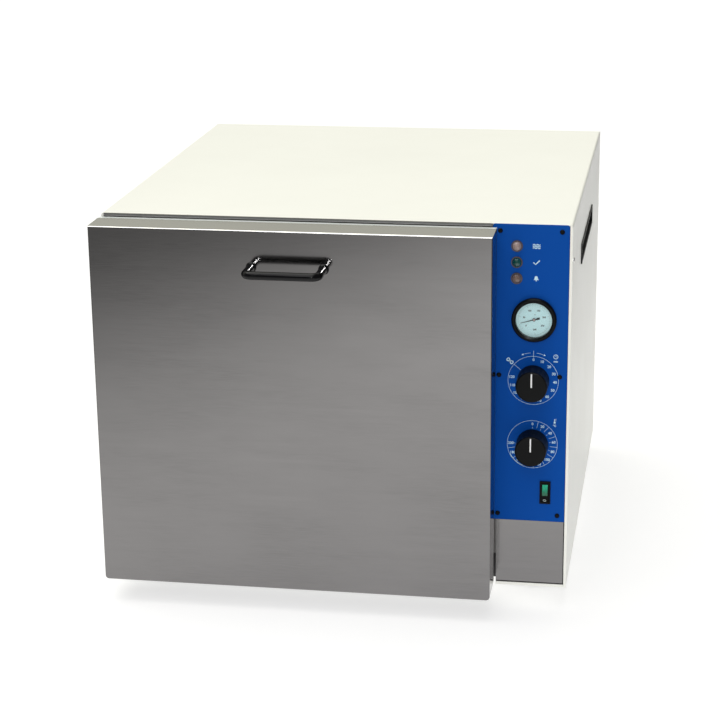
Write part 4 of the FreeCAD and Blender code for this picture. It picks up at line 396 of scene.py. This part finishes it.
# Finishes by the record's slots
ALONG_X, ALONG_Y, ALONG_Z = (0.02, 1, 1), (1, 0.02, 1), (1, 1, 0.02)
SMOOTH = 0.01 * MM
MADE = {
    "cabinet_paint": enamel("cabinet_paint", (0.92, 0.92, 0.86)),
    "panel_paint": enamel("panel_paint", (0.0, 0.068, 0.36), rough=0.5, coat=0.0, gloss=0.08),
    "stainless": brushed("stainless", (0.212, 0.206, 0.206), ALONG_X, rough=(0.1, 0.14),
                         cloud=0.1, streak=0.09, scratch=0.05),
    "chamber_steel": brushed("chamber_steel", (0.56, 0.55, 0.53), ALONG_Y, rough=(0.3, 0.42)),
    "zinc_steel": brushed("zinc_steel", (0.52, 0.53, 0.53), ALONG_Z, rough=(0.35, 0.5),
                          cloud=0.25),
    # Dark coat of the front frame and the hinge brackets. The frame shows only through gaps, and
    # its dark coat is partly painted shade there.
    "dark_steel": enamel("dark_steel", (0.035, 0.034, 0.036), rough=0.45, coat=0.0, gloss=0.3),
    "bright_steel": brushed("bright_steel", (0.7, 0.7, 0.69), ALONG_X, rough=(0.12, 0.2)),
    "element_sheath": brushed("element_sheath", (0.24, 0.2, 0.17), ALONG_Y, rough=(0.4, 0.6),
                              cloud=0.4),
    "ceramic": moulded("ceramic", (0.8, 0.77, 0.7), rough=0.6),
    "copper_tube": brushed("copper_tube", (0.72, 0.42, 0.28), ALONG_Y, rough=(0.25, 0.4)),
    "wool": fibrous("wool", (0.62, 0.55, 0.36)),
    "silicone": moulded("silicone", (0.42, 0.1, 0.07), rough=0.55),
    "foot_rubber": moulded("foot_rubber", (0.018, 0.018, 0.018), rough=0.7, grain=900),
    "black_plastic": moulded("black_plastic", (0.003, 0.0034, 0.0036), rough=0.42, gloss=0.12),
    "gloss_black": moulded("gloss_black", (0.004, 0.0045, 0.005), rough=0.24, depth=SMOOTH,
                           gloss=0.08),
    "black_bar": moulded("black_bar", (0.003, 0.003, 0.0035), rough=0.13, depth=SMOOTH,
                         gloss=0.22),
    "smoked_plastic": moulded("smoked_plastic", (0.07, 0.055, 0.06), rough=0.2, depth=SMOOTH,
                              gloss=0.4),
    "dial_white": enamel("dial_white", (0.64, 0.93, 0.96), rough=0.5, coat=0.0, gloss=0.2),
    "pointer_black": needle("pointer_black", middle("thermometer_dial")),
    "clear_glass": clear_pane("clear_glass"),
    "lens_amber": lens("lens_amber", (0.24, 0.17, 0.155), (0.42, 0.33, 0.31)),
    "lens_green": lens("lens_green", (0.0, 0.035, 0.035), (0.004, 0.09, 0.085)),
    "lens_red": lens("lens_red", (0.13, 0.085, 0.07), (0.24, 0.17, 0.15)),
    "magnet": moulded("magnet", (0.04, 0.04, 0.045), rough=0.5),
}
# Painted highlight: stainless faces that turn up and out, such as the bend along the door's top
# front edge, are painted almost white.
painted_light_facing(MADE["stainless"], UP_AND_OUT, 0.78, 0.92, (0.8, 0.79, 0.77))

SWITCH_GREEN = lit_green("switch_green", "switch_lens")
INNER_PANEL_STEEL = brushed("inner_panel_steel", (0.3, 0.3, 0.29), ALONG_X, rough=(0.25, 0.32))
# Painted light: the inner panel's upward faces, its top rim above all, are painted a light
# blue-white and made less metallic.
painted_light_facing(INNER_PANEL_STEEL, UP, 0.4, 0.8, (0.82, 0.86, 0.86), metal=0.3)

INK_WHITE = printed("ink_white", (0.6, 0.84, 0.95))
INK_BLACK = printed("ink_black", (0.01, 0.015, 0.018))
INK_GREY = printed("ink_grey", (0.26, 0.38, 0.4))
INK_OFF = printed("ink_off", (0.36, 0.42, 0.4))
INDEX_WHITE = printed("index_white", (0.9, 0.9, 0.9))


def dress_nodes():
    """Each solid from the frame takes the finish of its slot in the record, and two of them a
    finish of their own:
    the rocker's window and the door's inner panel, both with painted light on their upper faces."""
    slots = {part["node"]: part["material_slot"] for part in frame["record"]["subparts"]}
    own = {"switch_lens": SWITCH_GREEN, "door_inner_panel": INNER_PANEL_STEEL}
    for name, item in nodes.items():
        item.data.materials.clear()
        item.data.materials.append(own.get(name, MADE[slots[name]]))


def paint_recess_shade():
    """Painted shade: the faces of the base pan's recess behind the door's lower edge take the
    frame's dark material.
    """
    pan, low = nodes["base_pan"].data, low_corner("base_pan")
    pan.materials.append(MADE["dark_steel"])
    recess_end, recess_depth, floor_sheet = PANEL_LOW.x + 8 * MM, 27 * MM, 2 * MM
    for face in pan.polygons:
        if (face.center.x < recess_end and face.center.y < low.y + recess_depth
                and face.center.z > low.z + floor_sheet):
            face.material_index = 1


def piece(name, mesh, material, body):
    """A finished mesh as a piece that rides on a body."""
    data = bpy.data.meshes.new(name)
    mesh.to_mesh(data)
    mesh.free()
    data.materials.append(material)
    item = in_scene(name, data)
    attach(item, body)


# Flat prints: every mark is drawn in the plane of the panel, as (right, up) in metres.
# Angles are in degrees, clockwise from the top.
PRINT_LIFT = 0.12 * MM
RING_RADIUS, HAIR_WIDTH = 30.2 * MM, 0.36 * MM
FIGURE_RADIUS, FIGURE_HEIGHT, FIGURE_WEIGHT = 26.0 * MM, 3.2 * MM, 0.1 * MM
FIGURE_SHARE = 0.7      # a figure's height as a share of its font's size
SIGN_PLACE, UNIT_PLACE, UNIT_HEIGHT = (26.5, 30.5), (26.5, 24.8), 2.4 * MM
ARC_STEP, LOOP_STEPS, DOT_SIDES = 4, 32, 20


def full_turn(steps):
    return [2 * math.pi * step / steps for step in range(steps + 1)]


def placed(centre, points):
    """Points that are given in millimetres from a centre."""
    return [centre + Vector(point) * MM for point in points]


def clock(centre, radius, degrees):
    turn = math.radians(degrees)
    return centre + radius * Vector((math.sin(turn), math.cos(turn)))


def arc(centre, radius, start, end):
    steps = max(2, round(abs(end - start) / ARC_STEP))
    return [clock(centre, radius, start + (end - start) * step / steps)
            for step in range(steps + 1)]


def patch(mesh, corners):
    """A filled outline."""
    mesh.faces.new([mesh.verts.new((*corner, 0)) for corner in corners])


def dot(mesh, centre, radius):
    patch(mesh, [centre + radius * Vector((math.cos(turn), math.sin(turn)))
                 for turn in full_turn(DOT_SIDES)[:-1]])


def ribbon(mesh, path, width):
    """A stroke of even width along a path of points."""
    sides = []
    for here, point in enumerate(path):
        before = path[max(here - 1, 0)]
        after = path[min(here + 1, len(path) - 1)]
        along = (after - before).normalized()
        across = Vector((-along.y, along.x)) * width / 2
        sides.append((mesh.verts.new((*(point + across), 0)),
                      mesh.verts.new((*(point - across), 0))))
    for (a, b), (c, d) in zip(sides, sides[1:]):
        mesh.faces.new((a, b, d, c))


def spoke(mesh, centre, inner, outer, degrees, width=HAIR_WIDTH):
    """A stroke along a dial's radius."""
    ribbon(mesh, [clock(centre, inner, degrees), clock(centre, outer, degrees)], width)


def words(mesh, text, centre, height, weight=FIGURE_WEIGHT):
    """Upright figures, centred on a point, their strokes thickened by a weight."""
    curve = bpy.data.curves.new("figures", "FONT")
    curve.body = text
    curve.size = height / FIGURE_SHARE
    curve.offset = weight
    curve.align_x = "CENTER"
    curve.resolution_u = 3
    holder = bpy.data.objects.new("figures", curve)
    flat = bpy.data.meshes.new_from_object(holder)
    shift = Vector((centre.x, centre.y - height / 2, 0))
    made = [mesh.verts.new(vertex.co + shift) for vertex in flat.vertices]
    for polygon in flat.polygons:
        mesh.faces.new([made[index] for index in polygon.vertices])
    bpy.data.objects.remove(holder)
    bpy.data.curves.remove(curve)
    bpy.data.meshes.remove(flat)


def lay_print(name, mesh, depth, ink):
    """Stands a drawn plane up, facing the user, at a depth along Y."""
    mesh.transform(Matrix.Translation((0, depth, 0)) @ STAND_UP)
    piece(name, mesh, ink, "cabinet")


def dial_centre(node):
    place = middle(node)
    return Vector((place.x, place.z))


def clock_sign(mesh, centre):
    ribbon(mesh, arc(centre, 2.5 * MM, 0, 360), 0.7 * MM)
    ribbon(mesh, placed(centre, ((0, 1.6), (0, 0), (1.2, 0))), 0.6 * MM)


def heat_sign(mesh, centre):
    """A thermometer with three marks beside it."""
    bulb, = placed(centre, [(0, -1.7)])
    dot(mesh, bulb, 1.25 * MM)
    ribbon(mesh, placed(centre, ((0, -1.2), (0, 2.6))), 1.0 * MM)
    for high in (0.6, 1.6, 2.6):
        ribbon(mesh, placed(centre, ((1.1, high), (2.0, high))), 0.4 * MM)


def sign_with_unit(mesh, centre, draw, unit):
    """A small sign with a unit under it, at a dial's upper right."""
    sign_centre, unit_centre = placed(centre, (SIGN_PLACE, UNIT_PLACE))
    draw(mesh, sign_centre)
    words(mesh, unit, unit_centre, UNIT_HEIGHT)


def timer_print():
    """Ring, figures from 0 to 120, the hold line with its loop, and two arrows at the top."""
    centre = dial_centre("timer_knob")
    mesh = bmesh.new()
    figures, figure_step = 13, 23.2
    hold, hold_inner, loop_radius, loop_lean = 310, 19 * MM, 36.6 * MM, -40
    loop_half_width, loop_half_height, loop_width = 4.2, 1.9, 1.1 * MM
    zero_inner, zero_outer = 28.6 * MM, 37.0 * MM
    arrow_radius, arrow_start, arrow_end, arrow_tip = 34.5 * MM, 6, 19, 25
    barb_turn, barb_radii = 20.5, (33.3 * MM, 35.7 * MM)
    ribbon(mesh, arc(centre, RING_RADIUS, 0, 360), HAIR_WIDTH)
    for order in range(figures):
        words(mesh, str(order * 10), clock(centre, FIGURE_RADIUS, order * figure_step),
              FIGURE_HEIGHT)
    spoke(mesh, centre, hold_inner, RING_RADIUS, hold)
    lean = Matrix.Rotation(math.radians(loop_lean), 2)
    loop = [clock(centre, loop_radius, hold)
            + lean @ Vector((loop_half_width * math.sin(turn),
                             loop_half_height * math.sin(2 * turn))) * MM
            for turn in full_turn(LOOP_STEPS)]
    ribbon(mesh, loop, loop_width)
    spoke(mesh, centre, zero_inner, zero_outer, 0)
    for side in (-1, 1):
        ribbon(mesh, arc(centre, arrow_radius, arrow_start * side, arrow_end * side),
               HAIR_WIDTH)
        barbs = [clock(centre, radius, barb_turn * side) for radius in barb_radii]
        patch(mesh, [clock(centre, arrow_radius, arrow_tip * side), *barbs])
    sign_with_unit(mesh, centre, clock_sign, "min")
    lay_print("timer_scale_print", mesh, FRONT - PRINT_LIFT, INK_WHITE)


def thermostat_print():
    """Ring, figures from 0 to 200, ticks between them, and the heavy working arc."""
    centre = dial_centre("thermostat_knob")
    mesh = bmesh.new()
    figures, figure_step = 11, 27.2
    mark_inner, mark_outer, tick_inner = 20.4 * MM, 22.4 * MM, 21.4 * MM
    heavy_inset, heavy_width, heavy_start, heavy_end = 0.3 * MM, 1.0 * MM, 204, 245
    ribbon(mesh, arc(centre, RING_RADIUS, 0, 360), HAIR_WIDTH)
    for order in range(figures):
        turn = order * figure_step
        words(mesh, str(order * 20), clock(centre, FIGURE_RADIUS, turn), FIGURE_HEIGHT)
        spoke(mesh, centre, mark_inner, mark_outer, turn)
        if order < figures - 1:
            spoke(mesh, centre, tick_inner, RING_RADIUS, turn + figure_step / 2)
    ribbon(mesh, arc(centre, RING_RADIUS - heavy_inset, heavy_start, heavy_end), heavy_width)
    sign_with_unit(mesh, centre, heat_sign, "°C")
    lay_print("thermostat_scale_print", mesh, FRONT - PRINT_LIFT, INK_WHITE)


def thermometer_print():
    """Scale of the thermometer: faint ticks every 10, figures every 50."""
    centre = dial_centre("thermometer_dial")
    face = low_corner("thermometer_dial").y - PRINT_LIFT / 2
    start, sweep, steps, steps_per_figure = 231, 305, 30, 5
    rim, long_inner, short_inner, rim_width = 18.8 * MM, 16.4 * MM, 17.6 * MM, 0.14 * MM
    long_width, short_width = 0.3 * MM, 0.16 * MM
    figure_radius, figure_height = 12.2 * MM, 2.0 * MM
    unit_place, unit_height, unit_weight = (0.6, 6.0), 1.4 * MM, 0.04 * MM
    ticks, figures = bmesh.new(), bmesh.new()
    for order in range(steps + 1):
        turn = start + sweep * order / steps
        if order % steps_per_figure:
            spoke(ticks, centre, short_inner, rim, turn, short_width)
        else:
            spoke(ticks, centre, long_inner, rim, turn, long_width)
            words(figures, str(order * 10), clock(centre, figure_radius, turn), figure_height)
    ribbon(ticks, arc(centre, rim, start, start + sweep), rim_width)
    unit_centre, = placed(centre, [unit_place])
    words(figures, "°C", unit_centre, unit_height, unit_weight)
    lay_print("thermometer_ticks_print", ticks, face, INK_GREY)
    lay_print("thermometer_scale_print", figures, face, INK_BLACK)


def lamp_marks():
    """A small sign beside each lamp: heat waves, a tick and a bell."""
    mesh = bmesh.new()
    beside = Vector((23 * MM, 0))
    heat, ready, alarm = (dial_centre(node) + beside for node in
                          ("heating_lamp_lens", "ready_lamp_lens", "alarm_lamp_lens"))
    rows, half_length, wave_height, wave_turn, steps = (-2.0, 0, 2.0), 4.5, 0.6, 1.6, 24
    for row in rows:
        across = [half_length * (2 * step / steps - 1) for step in range(steps + 1)]
        ribbon(mesh, placed(heat, [(x, row + wave_height * math.sin(x * wave_turn))
                                   for x in across]), 0.9 * MM)
    ribbon(mesh, placed(ready, ((-3.6, 0.2), (-1.0, -2.3), (3.8, 2.6))), 1.25 * MM)
    bell_lift, clapper, clapper_radius = 0.4, (0, -2.2), 0.8 * MM
    half = [(0, 3.0), (1.1, 2.7), (1.8, 1.4), (2.0, -0.7), (3.3, -1.8)]
    outline = [(x, y + bell_lift) for x, y in half]
    patch(mesh, placed(alarm, [(-x, y) for x, y in outline[1:]] + outline[::-1]))
    clapper_centre, = placed(alarm, [clapper])
    dot(mesh, clapper_centre, clapper_radius)
    lay_print("lamp_signs_print", mesh, FRONT - PRINT_LIFT, INK_WHITE)


# Small pieces on the moving parts

def soft_box(low, high, edge):
    """A box with rounded edges."""
    mesh = bmesh.new()
    bmesh.ops.create_cube(mesh, size=1)
    size = high - low
    for vertex in mesh.verts:
        vertex.co = Vector([low[i] + (vertex.co[i] + 0.5) * size[i] for i in range(3)])
    bmesh.ops.bevel(mesh, geom=mesh.edges[:], offset=edge, segments=3, profile=0.5,
                    affect="EDGES")
    for face in mesh.faces:
        face.smooth = True
    return mesh


def knob_index(knob, body):
    """The white line let into the knob's groove."""
    place, crown = middle(knob), low_corner(knob).y
    inset, groove_depth, edge = 0.2 * MM, 1.2 * MM, 0.25 * MM
    reach, length, width = 16.8 * MM, 17.2 * MM, 1.75 * MM
    top = place.z + reach
    mesh = soft_box(Vector((place.x - width / 2, crown + inset, top - length)),
                    Vector((place.x + width / 2, crown + groove_depth, top)), edge)
    piece(knob + "_index", mesh, INDEX_WHITE, body)


def switch_marks():
    """The ring of the off mark, laid on the sloping face of the rocker's lower end."""
    low = low_corner("switch_rocker")
    rise, set_back, lift, slope = 2.5 * MM, 0.16 * MM, 0.06 * MM, math.radians(8.6)
    half_width, half_height, width = 1.65 * MM, 1 * MM, 0.6 * MM
    mesh = bmesh.new()
    ribbon(mesh, [Vector((half_width * math.sin(turn), half_height * math.cos(turn)))
                  for turn in full_turn(LOOP_STEPS)], width)
    place = Vector((middle("switch_rocker").x, low.y + set_back, low.z + rise))
    mesh.transform(Matrix.Translation(place) @ Matrix.Rotation(-slope, 4, "X") @ STAND_UP
                   @ Matrix.Translation((0, 0, lift)))
    piece("switch_off_mark", mesh, INK_OFF, "rocker")


camera()
studio()
dress_nodes()
paint_recess_shade()
timer_print()
thermostat_print()
thermometer_print()
lamp_marks()
knob_index("timer_knob", "timer_dial")
knob_index("thermostat_knob", "thermostat_dial")
switch_marks()
